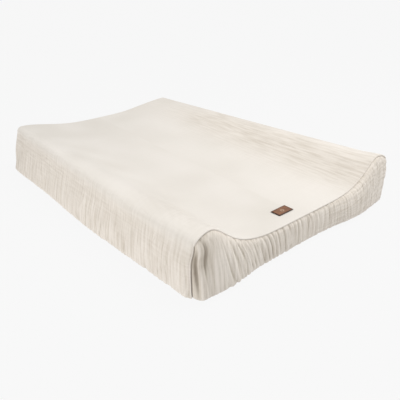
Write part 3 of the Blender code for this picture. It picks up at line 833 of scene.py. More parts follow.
# %% Whole end panel, hem to seam
def end_panel_places(direction, setback, columns, rows, face, underlap, swollen):
    """Places[row, column] of a smooth end panel, and its share of the wall's height at each place."""
    wall, top = end_wall(direction, setback, columns, rows)
    x, z = wall[..., 0], wall[..., 1]
    low = HEM_LEVEL + BASE_RADIUS
    ceiling = np.interp(x, top[:, 0], top[:, 1])
    share = np.clip(z / ceiling, 0, 1)
    from_side = np.minimum(x - x[:, :1], x[:, -1:] - x)
    puffed = np.sqrt(1 - (1 - np.clip(from_side / 0.016, 0, 1)) ** 2)
    from_seam = np.minimum(ceiling - z, from_side)
    recess = SEAM_RECESS * (1 - smooth_step(0.0, 0.006, from_seam))
    out = face + swollen * (end_swell(x, direction) * swell(share) * puffed - recess)
    walls = np.stack([x, direction * out, z], axis=-1)
    base = out[0]
    corner = [np.stack([x[0] * (HALF_WIDTH - BASE_RADIUS * (1 - math.sin(t))) / HALF_WIDTH,
                        direction * (base - BASE_RADIUS * (1 - math.sin(t))),
                        np.full_like(x[0], low - BASE_RADIUS * math.cos(t))], axis=-1)
              for t in np.linspace(0, math.pi / 2, END_CORNER_STEPS + 1)[:-1]]
    flange = [np.stack([x[0] * (HALF_WIDTH - t) / HALF_WIDTH,
                        direction * (face + (base - face) * (underlap - t) / underlap - t),
                        np.full_like(x[0], HEM_LEVEL + setback * (swollen == 0))], axis=-1)
              for t in np.linspace(underlap, BASE_RADIUS, END_FLANGE_STEPS + 1)[:-1]]
    places = np.concatenate([np.array(flange), np.array(corner), walls])
    shares = np.concatenate([np.zeros((len(flange) + len(corner), x.shape[1])), share])
    return places, shares


# %% Gathers of the two end panels
FOOT_BIG, FOOT_MID, FOOT_CROSSING = (0.0036, 0.0122), (0.0015, 0.0066), (0.0012, 0.0076)  # height, pitch
HEAD_BIG, HEAD_MID, HEAD_CROSSING = (0.0027, 0.0135), (0.0013, 0.0070), (0.0008, 0.0085)
PINCH_DEPTH, PINCH_X = 0.0052, -0.2450  # the one sharp crease by the left corner seam
HOLLOW_DEPTH, HOLLOW_X = 0.0019, -0.2330  # and the shallow dent next to it


def foot_folds(x, z, share, from_hem):
    """Gathers of the foot panel: they lean in its left half and are finest in its right half."""
    lean = 0.36 * hump(x, -0.135, 0.070) + 0.06
    slanted = x - lean * (0.06 - z)
    left_part = 1 - smooth_step(0.02, 0.10, x)
    under_seam = 1 - 0.35 * smooth_step(0.88, 1.0, share)
    quiet = 1 - 0.85 * hump(x, -0.212, 0.030)
    big = FOOT_BIG[0] * gathers(slanted, from_hem, FOOT_BIG[1], 121, run=0.10, wander=0.7) * quiet
    mid = FOOT_MID[0] * gathers(slanted, from_hem, FOOT_MID[1], 131, run=0.07) * (0.4 + 0.6 * quiet)
    crossing = FOOT_CROSSING[0] * (1 - 0.85 * left_part) * gathers(
        from_hem - 0.12 * x, x, FOOT_CROSSING[1], 141, run=0.03)
    pinch = -PINCH_DEPTH * hump(x, PINCH_X - 0.06 * (z - 0.060), 0.0021) * hump(z, 0.062, 0.026)
    hollow = -HOLLOW_DEPTH * hump(x, HOLLOW_X, 0.0095) * hump(z, 0.074, 0.024)
    return (big * (0.40 + 0.60 * left_part) + mid + crossing) * under_seam + pinch + hollow


def head_folds(x, z, share, from_hem):
    """Gathers of the head panel, which is taller and pulled evenly."""
    slanted = x * (1 + 0.12 * (share - 0.5))
    under_seam = 1 - 0.35 * smooth_step(0.88, 1.0, share)
    big = HEAD_BIG[0] * gathers(slanted, from_hem, HEAD_BIG[1], 221, run=0.12, wander=0.7)
    mid = HEAD_MID[0] * gathers(slanted, from_hem, HEAD_MID[1], 231, run=0.05)
    crossing = HEAD_CROSSING[0] * gathers(from_hem, x, HEAD_CROSSING[1], 241, run=0.03)
    return (big + mid + crossing) * under_seam


def cover_end_panel(name, direction, make_folds, node):
    places, share = end_panel_places(
        direction, SEAM_SETBACK, END_COLUMNS, WALL_STEPS, EDGE_Y, UNDERLAP, 1)
    x, z = places[..., 0], places[..., 2]
    from_hem = np.broadcast_to(running_length(places, 0)[:, None], x.shape)
    room = np.abs(places[..., 1]) - LINER_END_FACE - LEAST_GAP
    places = soften(places)
    normals = outward_normals(places)
    rows = np.arange(places.shape[0])[:, None]
    flange = smooth_step(2, END_FLANGE_STEPS + END_CORNER_STEPS, rows)
    folds = make_folds(x, z, share, from_hem) * (0.25 + 0.75 * flange)
    side_distance = np.minimum(np.arange(x.shape[1]), END_COLUMNS - np.arange(x.shape[1]))[None, :]
    folds = folds * smooth_step(-1, 5, side_distance)
    # A crease is stopped before it would cut into the liner.
    on_wall = rows >= END_FLANGE_STEPS + END_CORNER_STEPS
    folds = np.maximum(folds, -np.where(on_wall, room, CORNER_ROOM))
    moved = places + normals * folds[..., None]
    moved[..., 2] = np.maximum(moved[..., 2], HEM_LEVEL - 0.0004)
    across, along = running_length(moved, 1), running_length(moved, 0)
    flat = np.stack(np.meshgrid(across, along), axis=-1)
    # The fold value paints shade into the colour where the gathers sink, darkest in the foot panel's pinch
    # and dent. The crinkle lines paint shade over the whole panel.
    values = {"fold": np.clip(0.5 + folds / FULL_FOLD, 0, 1), "crinkle": np.ones_like(folds),
              "crossed": 0.10 + 0.45 * smooth_step(0.0, 0.10, x)}
    panel = cloth_sheet(name, moved, flat, values, MUSLIN, (0, direction, 0))
    settle(panel, "pad", "muslin", node)


cover_end_panel("cover_foot", -1, foot_folds, "cover_foot_end")
cover_end_panel("cover_head", 1, head_folds, "cover_head_end")


# %% [markdown]
# ## Hem casings and elastic
# The cover's edge is folded into a flat tube, the casing, and a woven elastic runs through it all
# the way round. The elastic is shorter than the hem, so the casing puckers. Each side is a strip
# of muslin bent round into a flat tube, made from one grid whose columns go round the tube and
# whose rows go along it. The elastic is a flat ribbed band, made from a grid in the same way.

# %% Casings
CASING_TUCK, CASING_WIDTH = 0.045, 0.019  # middle of the casing in from the outline, and its width
CASING_HEIGHT = HEM_LEVEL - 0.0007
AROUND_STEPS, CASING_ROWS = 20, 260


def flat_tube(share, width, height):
    """(across, up) round a flat tube with rounded edges, from the middle of its top."""
    turn = 2 * math.pi * share + math.pi / 2
    across = np.sign(np.cos(turn)) * np.abs(np.cos(turn)) ** 0.6 * width / 2
    up = (1 + np.sign(np.sin(turn)) * np.abs(np.sin(turn)) ** 0.6) * height / 2
    return across, up


def hem_casing(name, axis, direction, seed, node):
    """One side of the casing; axis is the one that it runs across, 0 for a long side and 1 for an end."""
    half_across, half_along = ((HALF_WIDTH, HALF_LENGTH), (HALF_LENGTH, HALF_WIDTH))[axis]
    share, run = np.meshgrid(np.linspace(0, 1, AROUND_STEPS + 1), np.linspace(-1, 1, CASING_ROWS + 1))
    across, up = flat_tube(share, CASING_WIDTH, CASING_HEIGHT - 0.0002)
    distance = run * half_along
    pucker = gathers(distance, across, 0.0095, seed, run=0.02)
    tuck = CASING_TUCK - across * (1 + 0.06 * pucker) - 0.0008 * noise(distance / 0.02, 0 * run, seed + 5)
    along = run * (half_along - tuck - 0.0008)
    away = direction * (half_across - tuck)
    level = 0.0002 + up * (0.80 + 0.20 * np.clip(0.5 + pucker, 0, 1))
    order = (away, along, level) if axis == 0 else (along, away, level)
    places = np.stack(order, axis=-1)
    length, girth = running_length(places, 0), running_length(places, 1)
    flat = np.stack(np.meshgrid(girth, length), axis=-1)[..., ::-1]
    # The fold value paints shade into the colour where the casing puckers in.
    values = {"fold": np.clip(0.55 + 0.45 * pucker, 0, 1), "crinkle": np.ones_like(level)}
    casing = cloth_sheet(name, places, flat, values, MUSLIN, (0, 0, -1))
    settle(casing, "pad", "muslin", node)


for side, axis, direction, seed in (("left", 0, -1, 301), ("right", 0, 1, 311),
                                    ("foot", 1, -1, 321), ("head", 1, 1, 331)):
    hem_casing("hem_casing_visual_" + side, axis, direction, seed, "hem_casing_" + side)

# %% [markdown]
# The elastic itself is a flat band of rubber cords woven over with thread, so it is ribbed across.
# It lies in the casing as one closed loop with rounded corners. The casing hides it, but its ribs
# are real ridges, so that the piece is right on its own too.

# %% Elastic
BAND_WIDTH, BAND_THICK, RIB_PITCH = 0.012, 0.0010, 0.0022
BAND_LEVEL = 0.0011  # underside of the band above the floor
BAND_CORNER = 0.012


def band_loop(count):
    """(x, y) and outward direction at even steps round a rectangle with rounded corners."""
    half_x, half_y = HALF_WIDTH - CASING_TUCK - BAND_CORNER, HALF_LENGTH - CASING_TUCK - BAND_CORNER
    points = []
    for quarter, (sx, sy) in enumerate(((1, 1), (-1, 1), (-1, -1), (1, -1))):
        for turn in np.linspace(0, math.pi / 2, 9) + quarter * math.pi / 2:
            points.append((sx * half_x + BAND_CORNER * math.cos(turn),
                           sy * half_y + BAND_CORNER * math.sin(turn)))
    points = resample(np.array(points + points[:1]), count)
    ahead = np.gradient(points, axis=0)
    ahead[0] = ahead[-1] = ahead[0] + ahead[-1]
    ahead /= np.linalg.norm(ahead, axis=1, keepdims=True)
    return points, np.stack([ahead[:, 1], -ahead[:, 0]], axis=-1)


def elastic_material():
    look, nodes, links, shader = new_material("elastic", (0.88, 0.87, 0.84), 0.75, Sheen_Weight=0.15)
    cloth = cloth_place(nodes)
    weave = weave_height(nodes, links, cloth, 0.0008)
    shade = ramp(nodes, links, math_node(nodes, links, "MULTIPLY", weave, 0.5),
                 [(0.1, (0.74, 0.73, 0.70)), (0.7, (0.90, 0.89, 0.86))])
    links.new(shade, shader.inputs["Base Color"])
    links.new(add_bump(nodes, links, weave, 0.0002, 0.6), shader.inputs["Normal"])
    return look


def hem_elastic():
    around, along = 10, 1120
    centre, outward = band_loop(along)
    share = np.linspace(0, 1, around + 1)
    across, up = flat_tube(share, BAND_WIDTH, BAND_THICK)
    run = np.arange(along + 1) / along * 2 * (MAT_WIDTH + MAT_LENGTH)
    rib = 0.00016 * np.sin(2 * math.pi * run / RIB_PITCH)
    xy = centre[:, None, :] + outward[:, None, :] * across[None, :, None]
    lift = np.where(up > BAND_THICK / 2, 1, -1)[None, :] * rib[:, None]
    places = np.concatenate([xy, (BAND_LEVEL + up[None, :] + lift)[..., None]], axis=-1)
    flat = np.stack(np.meshgrid(share * 2 * BAND_WIDTH, run), axis=-1)
    band = cloth_sheet("elastic_band", places, flat, {}, elastic_material(), (0, 0, -1))
    close_seam(band)
    settle(band, "pad", "elastic", "hem_elastic")


def thicken(obj, thickness, offset):
    solid = obj.modifiers.new("thickness", "SOLIDIFY")
    solid.thickness = thickness
    solid.offset = offset


def close_seam(obj):
    """Joins the points where a grid was bent round to meet itself."""
    bm = bmesh.new()
    bm.from_mesh(obj.data)
    bmesh.ops.remove_doubles(bm, verts=bm.verts, dist=1e-5)
    bmesh.ops.recalc_face_normals(bm, faces=bm.faces)
    bm.to_mesh(obj.data)
    bm.free()


hem_elastic()

# %% [markdown]
# ## Wipe-clean liner
# Under the muslin the foam sits in a liner of knit coated with a smooth white film. It is a wrap,
# two end panels and a base in two halves with the zip between them, sewn from cloth that is
# stiffer than muslin and so lies almost without folds. Only the base shows, through the opening
# in the cover under the mat, so the base halves get slight tension wrinkles and a low ridge along
# the zip. Beyond the ends of the zip the two halves meet in a plain seam.

# %% Liner material
def coated_material():
    look, nodes, links, shader = new_material(
        "coated_cloth", (0.84, 0.85, 0.86), 0.42, Coat_Weight=0.25, Coat_Roughness=0.30)
    cloth = cloth_place(nodes)
    grain = texture(nodes, links, "ShaderNodeTexVoronoi", cloth, "Distance", Scale=900.0)
    clouds = noise_node(nodes, links, cloth, 14.0, 3.0)
    links.new(ramp(nodes, links, clouds, [(0.3, (0.80, 0.81, 0.82)), (0.7, (0.87, 0.88, 0.89))]),
              shader.inputs["Base Color"])
    links.new(ramp(nodes, links, clouds, [(0.3, grey(0.36)), (0.7, grey(0.50))]),
              shader.inputs["Roughness"])
    slack = noise_node(nodes, links, mapped(nodes, links, cloth, (40, 14, 1)), 1.0, 2.0, 0.5)
    bumped = add_bump(nodes, links, slack, 0.0015, 0.35)
    links.new(add_bump(nodes, links, grain, 0.00010, 0.4, bumped), shader.inputs["Normal"])
    return look


COATED = coated_material()

# %% Liner panels
LINER_SETBACK, LINER_UNDERLAP = 0.0018, 0.015
SEWN_OVER = 0.002  # length of tape that the closed seam beyond the zip covers
LINER_END_SETBACK = LINER_SETBACK + 0.0012
NEAR_ZIP = 0.03  # width of the strip beside the zip where the base changes towards it
BASE_WRINKLE, BASE_WRINKLE_GAP = 0.0005, 0.045
LINER_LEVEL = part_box("liner_base_left")[0].z + 0.0003


def add_liner_panel(name, places, node, outward):
    across, along = running_length(places, 1), running_length(places, 0)
    flat = np.stack(np.meshgrid(across, along), axis=-1)
    panel = cloth_sheet(name, places, flat, {}, COATED, outward)
    settle(panel, "pad", "coated_cloth", node)


def liner_wrap():
    places, step, y = wrap_places(90, 2, LINER_FACE, LINER_SETBACK, LINER_UNDERLAP)
    places = soften(places)
    slack = 0.0003 * noise(y / 0.03, step / 6.0, 401)
    places = places + outward_normals(places) * (slack - 0.0006)[..., None]
    add_liner_panel("liner_wrap", places, "liner_top_panel", (0, 0, 1))


def liner_end(name, direction, node):
    places, _ = end_panel_places(
        direction, LINER_END_SETBACK, 96, 16, LINER_END_FACE, LINER_UNDERLAP, 0)
    add_liner_panel(name, soften(places), node, (0, direction, 0))


def liner_base(name, node):
    low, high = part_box(node)
    across, along = np.meshgrid(np.linspace(low.x, high.x, 61), np.linspace(low.y, high.y, 281))
    inner = min(abs(low.x), abs(high.x))
    from_zip = np.minimum(np.abs(across) - inner, NEAR_ZIP) / NEAR_ZIP
    tape_low, tape_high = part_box("zip_tape_left")
    beyond = np.maximum(tape_low.y + SEWN_OVER - along, along - tape_high.y + SEWN_OVER)
    closed = smooth_step(0.0, 0.003, beyond) * (1 - smooth_step(0.0, 0.4, from_zip))
    across = across - np.sign(across) * (inner - 0.0001) * closed
    wrinkle = BASE_WRINKLE * from_zip * gathers(
        along + 0.4 * across, across, BASE_WRINKLE_GAP, 431, run=0.12)
    near_hem = hump(from_zip, 0.16, 0.09)
    level = LINER_LEVEL + 0.0002 + np.clip(wrinkle, -0.0002, 0.0004) - 0.00015 * near_hem
    add_liner_panel(name, np.stack([across, along, level], axis=-1), node, (0, 0, -1))


liner_wrap()
liner_end("liner_end_foot", -1, "liner_foot_end")
liner_end("liner_end_head", 1, "liner_head_end")
liner_base("liner_half_left", "liner_base_left")
liner_base("liner_half_right", "liner_base_right")

# %% [markdown]
# ## Foam core
# The core is one block of open-cell foam, cut to the contour with a wire. Its mesh starts as a
# copy of the frame's solid. A voxel remesh evens it out and rounds the cut edges, as the liner's
# pull does, and then it takes the same softening as the cloth, so that it stays inside it. The
# foam is the one padded piece, and it is full.

# %% Foam
FOAM_VOXEL = 0.006
FOAM_INSET = 0.0012


def foam_material():
    look, nodes, links, shader = new_material("foam", (0.86, 0.80, 0.62), 0.95)
    spot = piece_place(nodes)
    cells = texture(nodes, links, "ShaderNodeTexVoronoi", spot, "Distance", Scale=700.0)
    links.new(ramp(nodes, links, cells, [(0.05, (0.90, 0.85, 0.68)), (0.6, (0.74, 0.67, 0.49))]),
              shader.inputs["Base Color"])
    links.new(add_bump(nodes, links, cells, 0.0006, 0.8), shader.inputs["Normal"])
    return look


def apply_modifiers(obj):
    """Turns an object's mesh into what its modifiers make of it."""
    graph = bpy.context.evaluated_depsgraph_get()
    mesh = bpy.data.meshes.new_from_object(obj.evaluated_get(graph))
    obj.modifiers.clear()
    obj.data = mesh


def copy_of_node(name, node):
    """A new object with a node's mesh, its loose triangles merged."""
    mesh = frame["nodes"][node].data.copy()
    mesh.name = name
    mesh.materials.clear()
    bm = bmesh.new()
    bm.from_mesh(mesh)
    bmesh.ops.remove_doubles(bm, verts=bm.verts, dist=1e-6)
    bmesh.ops.dissolve_limit(bm, angle_limit=math.radians(1), verts=bm.verts, edges=bm.edges)
    bm.to_mesh(mesh)
    bm.free()
    return place_object(name, mesh)


def foam_block():
    foam = copy_of_node("foam_block", "foam_core")
    remesh = foam.modifiers.new("even", "REMESH")
    remesh.mode = "VOXEL"
    remesh.voxel_size = FOAM_VOXEL
    ease = foam.modifiers.new("ease", "SMOOTH")
    ease.factor = 0.5
    ease.iterations = 6
    apply_modifiers(foam)
    count = len(foam.data.vertices)
    places, normals = np.empty(count * 3), np.empty(count * 3)
    foam.data.vertices.foreach_get("co", places)
    foam.data.vertices.foreach_get("normal", normals)
    places = soften(places.reshape(-1, 3) - normals.reshape(-1, 3) * FOAM_INSET)
    foam.data.vertices.foreach_set("co", places.ravel())
    foam.data.update()
    foam.data.shade_smooth()
    foam.data.materials.clear()
    foam.data.materials.append(foam_material())
    settle(foam, "pad", "foam", "foam_core")
    print("foam", len(foam.data.polygons), "faces")


foam_block()

# %% [markdown]
# ## Stitches
# A sewn seam is a row of short stitches, each sunk at both ends. One stitch is a small stretched
# ball with few faces, because it is repeated about two hundred times along a seam. The helper
# sets them at even distances along any line of places and turns each to lie along the line.

# %% Stitch maker and thread
STITCH_LENGTH, STITCH_PITCH, STITCH_RADIUS = 0.0026, 0.0034, 0.00035


def thread_material():
    look, nodes, links, shader = new_material("thread", (0.76, 0.71, 0.63), 0.70, Sheen_Weight=0.10)
    spot = piece_place(nodes)
    twist = texture(nodes, links, "ShaderNodeTexWave", spot, "Fac", bands_direction="DIAGONAL",
                    Scale=900.0, Distortion=1.0)
    links.new(ramp(nodes, links, twist, [(0.1, (0.66, 0.60, 0.52)), (0.8, (0.80, 0.75, 0.67))]),
              shader.inputs["Base Color"])
    links.new(add_bump(nodes, links, twist, 0.0001, 0.5), shader.inputs["Normal"])
    return look


THREAD = thread_material()


def stitch_run(name, line, node, look=THREAD,
               pitch=STITCH_PITCH, length=STITCH_LENGTH, radius=STITCH_RADIUS):
    """Stitches along a line of places, as one piece."""
    run = np.linalg.norm(np.diff(line, axis=0), axis=1).sum()
    spots = resample(line, max(2, int(run / pitch)))
    bm = bmesh.new()
    for start, end in zip(spots, spots[1:]):
        turn = Vector(end - start).to_track_quat("Z", "Y").to_matrix().to_4x4()
        size = Matrix.Diagonal((radius, radius, length / 2, 1))
        place = Matrix.Translation(Vector((start + end) / 2)) @ turn @ size
        bmesh.ops.create_uvsphere(bm, u_segments=6, v_segments=5, radius=1, matrix=place)
    mesh = mesh_from(bm, name)
    mesh.shade_smooth()
    mesh.materials.append(look)
    settle(place_object(name, mesh), "pad", "thread", node)
    print(name, len(spots) - 1, "stitches")


# %% End seams
def end_seam(name, direction, node):
    """Stitches in the groove between the rolled rim and the end panel."""
    step = np.linspace(FLANGE_STEPS + CORNER_STEPS + 1, HALF_STEPS, 160)
    x, z = half_section(step, np.full_like(step, direction * HALF_LENGTH), SEAM_SETBACK - 0.0004)
    depth = np.full_like(x, direction * (EDGE_Y - SEAM_RECESS + 0.0005))
    right = np.stack([x, depth, z], axis=-1)
    line = np.concatenate([right * np.array([-1, 1, 1]), right[-2::-1]])
    stitch_run(name, soften(line), node)


end_seam("seam_stitches_foot", -1, "seam_thread_foot")
end_seam("seam_stitches_head", 1, "seam_thread_head")

# %% [markdown]
# ## Leather label
# A small rectangle of thick vegetable-tanned leather is sewn near the foot end. It was cut with a
# hot blade, so its edges are burnt dark. Its middle carries a pressed mark, here a plain heart,
# and a paler rubbed tone round it. The face is a fine grid whose heights dip at the edges, at the
# row of stitches and in the mark. A Solidify modifier gives it its thickness.

# %% Leather
LABEL_SIZE = (0.036, 0.021)
LABEL_THICK = 0.0012
LABEL_CORNER = 0.0015
LABEL_LIFT = 0.0004  # of the label's back above the cloth
HEART_SIZE = 0.0035  # half the width of the pressed heart
label_low, label_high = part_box("leather_label")
LABEL_MIDDLE = (label_low + label_high) / 2
LABEL_STITCH_MARGIN = 0.0022


def leather_material():
    look, nodes, links, shader = new_material("leather", (0.27, 0.12, 0.05), 0.55)
    spot = piece_place(nodes)
    edge = point_value(nodes, "edge")
    mark = point_value(nodes, "mark")
    clouds = noise_node(nodes, links, spot, 160.0, 4.0)
    base = ramp(nodes, links, clouds, [(0.30, (0.165, 0.066, 0.029)), (0.70, (0.265, 0.118, 0.054))])
    marked = mix_colours(nodes, links, "MIX", mark, base, (0.56, 0.42, 0.30))
    burnt = ramp(nodes, links, edge,
                 [(0.0, (0.16, 0.11, 0.09)), (0.5, (0.55, 0.50, 0.46)), (1.0, (1, 1, 1))])
    links.new(mix_colours(nodes, links, "MULTIPLY", 1.0, marked, burnt), shader.inputs["Base Color"])
    grain = texture(nodes, links, "ShaderNodeTexVoronoi", spot, "Distance", Scale=1500.0)
    links.new(ramp(nodes, links, clouds, [(0.3, grey(0.48)), (0.7, grey(0.64))]),
              shader.inputs["Roughness"])
    links.new(add_bump(nodes, links, grain, 0.00012, 0.6), shader.inputs["Normal"])
    return look


def heart(u, v):
    """Below 0 inside a heart that is about 2 wide, above 0 outside it."""
    v = v + 0.15
    return (u**2 + v**2 - 0.75) ** 3 - u**2 * v**3


def label_frame():
    """Turn and place of the label on the sloping lying surface."""
    y = LABEL_MIDDLE.y
    ends = [float(valley_height(LABEL_MIDDLE.x, y + side * LABEL_SIZE[1] / 2)) for side in (-1, 1)]
    turn = Matrix.Rotation(math.atan((ends[1] - ends[0]) / LABEL_SIZE[1]), 4, "X")
    return Matrix.Translation((LABEL_MIDDLE.x, y, sum(ends) / 2)) @ turn


def leather_label():
    u, v = np.meshgrid(np.linspace(-0.5, 0.5, 121), np.linspace(-0.5, 0.5, 71))
    x, y = u * LABEL_SIZE[0], v * LABEL_SIZE[1]
    from_edge = np.minimum(LABEL_SIZE[0] / 2 - np.abs(x), LABEL_SIZE[1] / 2 - np.abs(y))
    far_x, far_y = (np.maximum(np.abs(at) - size / 2 + LABEL_CORNER, 0)
                    for at, size in zip((x, y), LABEL_SIZE))
    corner = np.hypot(far_x, far_y)
    pull_in = np.where(corner > LABEL_CORNER, LABEL_CORNER / np.maximum(corner, 1e-9), 1.0)
    line = hump(np.abs(heart(x / HEART_SIZE, y / HEART_SIZE)) ** 0.5, 0.0, 0.30)
    pressed = 0.00028 * line + 0.00030 * hump(from_edge, LABEL_STITCH_MARGIN, 0.0006)
    rim = 0.00055 * (1 - smooth_step(0.0, 0.0008, from_edge))
    waviness = 0.00012 * noise(u * 5, v * 4, 501)
    height = LABEL_LIFT + LABEL_THICK - pressed - rim + waviness
    x = x - np.sign(x) * far_x * (1 - pull_in)
    y = y - np.sign(y) * far_y * (1 - pull_in)
    place = np.array(label_frame())
    local = np.stack([x, y, height, np.ones_like(x)], axis=-1)
    places = soften((local @ place.T)[..., :3])
    values = {"edge": smooth_step(0.0, 0.0030, from_edge), "mark": np.clip(line, 0, 1) * 0.8}
    flat = np.stack([x, y], axis=-1)
    label = cloth_sheet("label", places, flat, values, leather_material(), (0, 0, 1))
    thicken(label, LABEL_THICK - 0.0006, -1)
    settle(label, "pad", "leather", "leather_label")
    half_x, half_y = (size / 2 - LABEL_STITCH_MARGIN for size in LABEL_SIZE)
    signs = np.array([(-1, -1), (1, -1), (1, 1), (-1, 1), (-1, -1)])
    ring = np.column_stack([signs * (half_x, half_y), np.full(5, 0.0003 + LABEL_THICK), np.ones(5)])
    stitch_run("label_stitches", soften((ring @ place.T)[:, :3]), "label_stitching", label_thread(),
               pitch=0.0026, length=0.0019, radius=0.00022)


def label_thread():
    """The same thread in brown, for the label."""
    look = THREAD.copy()
    look.name = "thread_brown"
    stops = next(node for node in look.node_tree.nodes if node.type == "VALTORGB").color_ramp.elements
    stops[0].color = (0.14, 0.065, 0.030, 1)
    stops[1].color = (0.24, 0.115, 0.055, 1)
    return look


leather_label()

# %% [markdown]
# ## Care tag
# A blank ribbon of satin is caught in the hem under the head end. It is the one glossy cloth, so
# its weave is finer and its highlights run along the threads. It lies nearly flat, with a soft
# curl towards its free end.

# %% Satin tag
SATIN_PITCH = 0.00035
TAG_THICK = 0.0002


def satin_material():
    look, nodes, links, shader = new_material("satin_tag", (0.90, 0.90, 0.89), 0.30, Anisotropic=0.5,
                                              Sheen_Weight=0.2)
    cloth = cloth_place(nodes)
    threads = texture(nodes, links, "ShaderNodeTexWave", cloth, "Fac", bands_direction="X",
                      Scale=WAVES_PER_METRE / SATIN_PITCH, Distortion=0.4)
    links.new(ramp(nodes, links, threads, [(0.2, (0.84, 0.84, 0.83)), (0.8, (0.93, 0.93, 0.92))]),
              shader.inputs["Base Color"])
    links.new(add_bump(nodes, links, threads, 0.00006, 0.5), shader.inputs["Normal"])
    return look


def care_tag():
    low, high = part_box("care_tag")
    x, y = np.meshgrid(np.linspace(low.x, high.x, 29), np.linspace(low.y, high.y, 35))
    free = (high.y - y) / (high.y - low.y)
    curl = -0.0007 * free**2 + 0.00025 * noise(x / 0.012, y / 0.012, 601)
    places, flat = np.stack([x, y, high.z - TAG_THICK + curl], axis=-1), np.stack([x, y], axis=-1)
    tag = cloth_sheet("satin_care_tag", places, flat, {}, satin_material(), (0, 0, -1))
    thicken(tag, TAG_THICK, -1)
    settle(tag, "pad", "satin_tag", "care_tag")


care_tag()

# %% [markdown]
# ## Zip
# A coil zip closes the liner's base. Each half is a woven tape whose inner edge carries a nylon
# coil. The tape is a thin sheet with a woven-in edge. One turn of the coil is a small ring of
# points that a spin carries round and forward at the same time, pressed into the flat oval of a
# real coil, and an Array modifier repeats that turn along the tape. The two coils are nearly half
# a turn apart. They stay within the frame's boxes, so a thin gap is left between them.

# %% Zip tapes
TWILL_PITCH = 0.0009
TAPE_THICK = 0.0004
TAPE_SEAMS = (0.0050, 0.0100)  # the two rows of stitches, from the tape's inner edge


def tape_material():
    look, nodes, links, shader = new_material("zip_tape", (0.86, 0.86, 0.84), 0.85, Sheen_Weight=0.15)
    cloth = cloth_place(nodes)
    twill = texture(nodes, links, "ShaderNodeTexWave", cloth, "Fac", bands_direction="DIAGONAL",
                    Scale=WAVES_PER_METRE / TWILL_PITCH, Distortion=0.3)
    links.new(ramp(nodes, links, twill, [(0.2, (0.77, 0.77, 0.75)), (0.8, (0.88, 0.88, 0.86))]),
              shader.inputs["Base Color"])
    links.new(add_bump(nodes, links, twill, 0.00015, 0.7), shader.inputs["Normal"])
    return look


TAPE = tape_material()


def zip_tape(name, node):
    low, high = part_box(node)
    x, y = np.meshgrid(np.linspace(low.x, high.x, 17), np.linspace(low.y, high.y, 431))
    from_middle = np.abs(x) - min(abs(low.x), abs(high.x))
    rows = hump(from_middle, TAPE_SEAMS[0], 0.0004) + hump(from_middle, TAPE_SEAMS[1], 0.0004)
    stitch_dip = 0.00012 * rows * (0.6 + 0.4 * np.sin(2 * math.pi * y / 0.003))
    middle = (low.z + high.z) / 2
    level = middle + 0.00015 - 0.00020 * hump(from_middle, 0.0004, 0.0006) + stitch_dip
    places, flat = np.stack([x, y, level], axis=-1), np.stack([x, y], axis=-1)
    tape = cloth_sheet(name, places, flat, {}, TAPE, (0, 0, -1))
    thicken(tape, TAPE_THICK, 0)
    settle(tape, "pad", "zip_tape", node)


zip_tape("zip_tape_visual_left", "zip_tape_left")
zip_tape("zip_tape_visual_right", "zip_tape_right")

# %% Zip coils
COIL_PITCH = 0.0015
COIL_WIRE = 0.00030
COIL_TURN_STEPS = 10


def nylon_material():
    look, nodes, links, shader = new_material("zip_teeth", (0.88, 0.88, 0.86), 0.35, Coat_Weight=0.3)
    spot = piece_place(nodes)
    clouds = noise_node(nodes, links, spot, 500.0, 2.0)
    links.new(ramp(nodes, links, clouds, [(0.3, (0.83, 0.83, 0.81)), (0.7, (0.92, 0.92, 0.90))]),
              shader.inputs["Base Color"])
    links.new(ramp(nodes, links, clouds, [(0.3, grey(0.28)), (0.7, grey(0.42))]),
              shader.inputs["Roughness"])
    links.new(add_bump(nodes, links, clouds, 0.00005, 0.4), shader.inputs["Normal"])
    return look


NYLON = nylon_material()


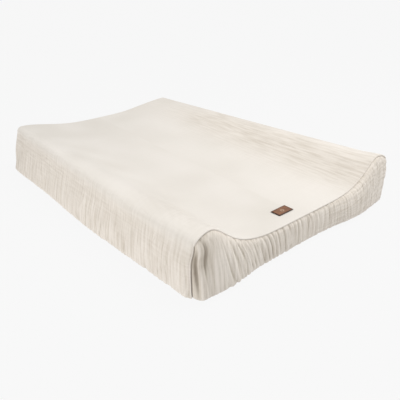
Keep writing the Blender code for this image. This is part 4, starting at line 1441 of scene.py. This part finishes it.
def zip_coil(name, node, hand):
    low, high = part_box(node)
    turns = int((high.y - low.y) / COIL_PITCH) - 1
    radius = (high.x - low.x) / 2
    bm = bmesh.new()
    ring = bmesh.ops.create_circle(bm, segments=5, radius=COIL_WIRE, cap_ends=False)["verts"]
    bmesh.ops.translate(bm, vec=(radius - COIL_WIRE, 0, 0), verts=ring)
    bmesh.ops.spin(bm, geom=ring + list(bm.edges), cent=(0, 0, 0), axis=(0, 1, 0),
                   dvec=(0, COIL_PITCH / COIL_TURN_STEPS, 0), angle=2 * math.pi, steps=COIL_TURN_STEPS,
                   use_duplicate=False)
    bmesh.ops.scale(bm, vec=(hand, 1, (high.z - low.z) / 2 / radius), verts=bm.verts)
    start = low.y + COIL_WIRE + (0.5 if hand > 0 else 0.1) * COIL_PITCH
    bmesh.ops.translate(bm, vec=((low.x + high.x) / 2, start, (low.z + high.z) / 2), verts=bm.verts)
    obj = place_object(name, mesh_from(bm, name))
    repeat = obj.modifiers.new("turns", "ARRAY")
    repeat.count = turns
    repeat.use_relative_offset = False
    repeat.use_constant_offset = True
    repeat.constant_offset_displace = (0, COIL_PITCH, 0)
    repeat.use_merge_vertices = True
    repeat.merge_threshold = 1e-5
    apply_modifiers(obj)
    close_seam(obj)
    mesh = obj.data
    mesh.shade_smooth()
    mesh.materials.append(NYLON)
    settle(obj, "pad", "zip_teeth", node)
    print(name, turns, "turns,", len(mesh.polygons), "faces")


zip_coil("zip_coil_left", "zip_teeth_left", -1)
zip_coil("zip_coil_right", "zip_teeth_right", 1)

# %% [markdown]
# ## Zip metal
# The slider, its pull and the stops are plated metal. Their shapes in the frame are right but
# sharp, so each one is a copy of the frame's mesh with its edges bevelled. Plated zinc is smooth,
# with a faint tumbled unevenness and fine scratches.

# %% Slider, pull and stops
def metal_material():
    look, nodes, links, shader = new_material("zip_metal", (0.70, 0.70, 0.69), 0.28, Metallic=1.0)
    spot = piece_place(nodes)
    clouds = noise_node(nodes, links, spot, 700.0, 3.0)
    scratches = noise_node(nodes, links, mapped(nodes, links, spot, (3000, 300, 1000)), 1.0, 2.0)
    links.new(ramp(nodes, links, clouds, [(0.3, (0.60, 0.60, 0.59)), (0.7, (0.76, 0.76, 0.75))]),
              shader.inputs["Base Color"])
    links.new(ramp(nodes, links, scratches, [(0.3, grey(0.20)), (0.7, grey(0.38))]),
              shader.inputs["Roughness"])
    links.new(add_bump(nodes, links, scratches, 0.00002, 0.3), shader.inputs["Normal"])
    return look


METAL = metal_material()
EDGE_ROUNDING = 0.00012


def metal_piece(name, node, body):
    """A copy of a node with its edges bevelled."""
    piece = copy_of_node(name, node)
    soften_edges = piece.modifiers.new("edges", "BEVEL")
    soften_edges.width = EDGE_ROUNDING
    soften_edges.segments = 2
    soften_edges.limit_method = "ANGLE"
    soften_edges.angle_limit = math.radians(35)
    soften_edges.use_clamp_overlap = True
    apply_modifiers(piece)
    piece.data.shade_smooth()
    piece.data.set_sharp_from_angle(angle=math.radians(50))
    piece.data.materials.clear()
    piece.data.materials.append(METAL)
    settle(piece, body, "zip_metal", node)
    print(name, len(piece.data.polygons), "faces")


metal_piece("slider", "zip_slider", "zip_slider")
metal_piece("pull_tab", "zip_pull", "zip_pull")
for stop in ("top_stop_left", "top_stop_right", "bottom_stop"):
    metal_piece(stop, "zip_" + stop, "pad")
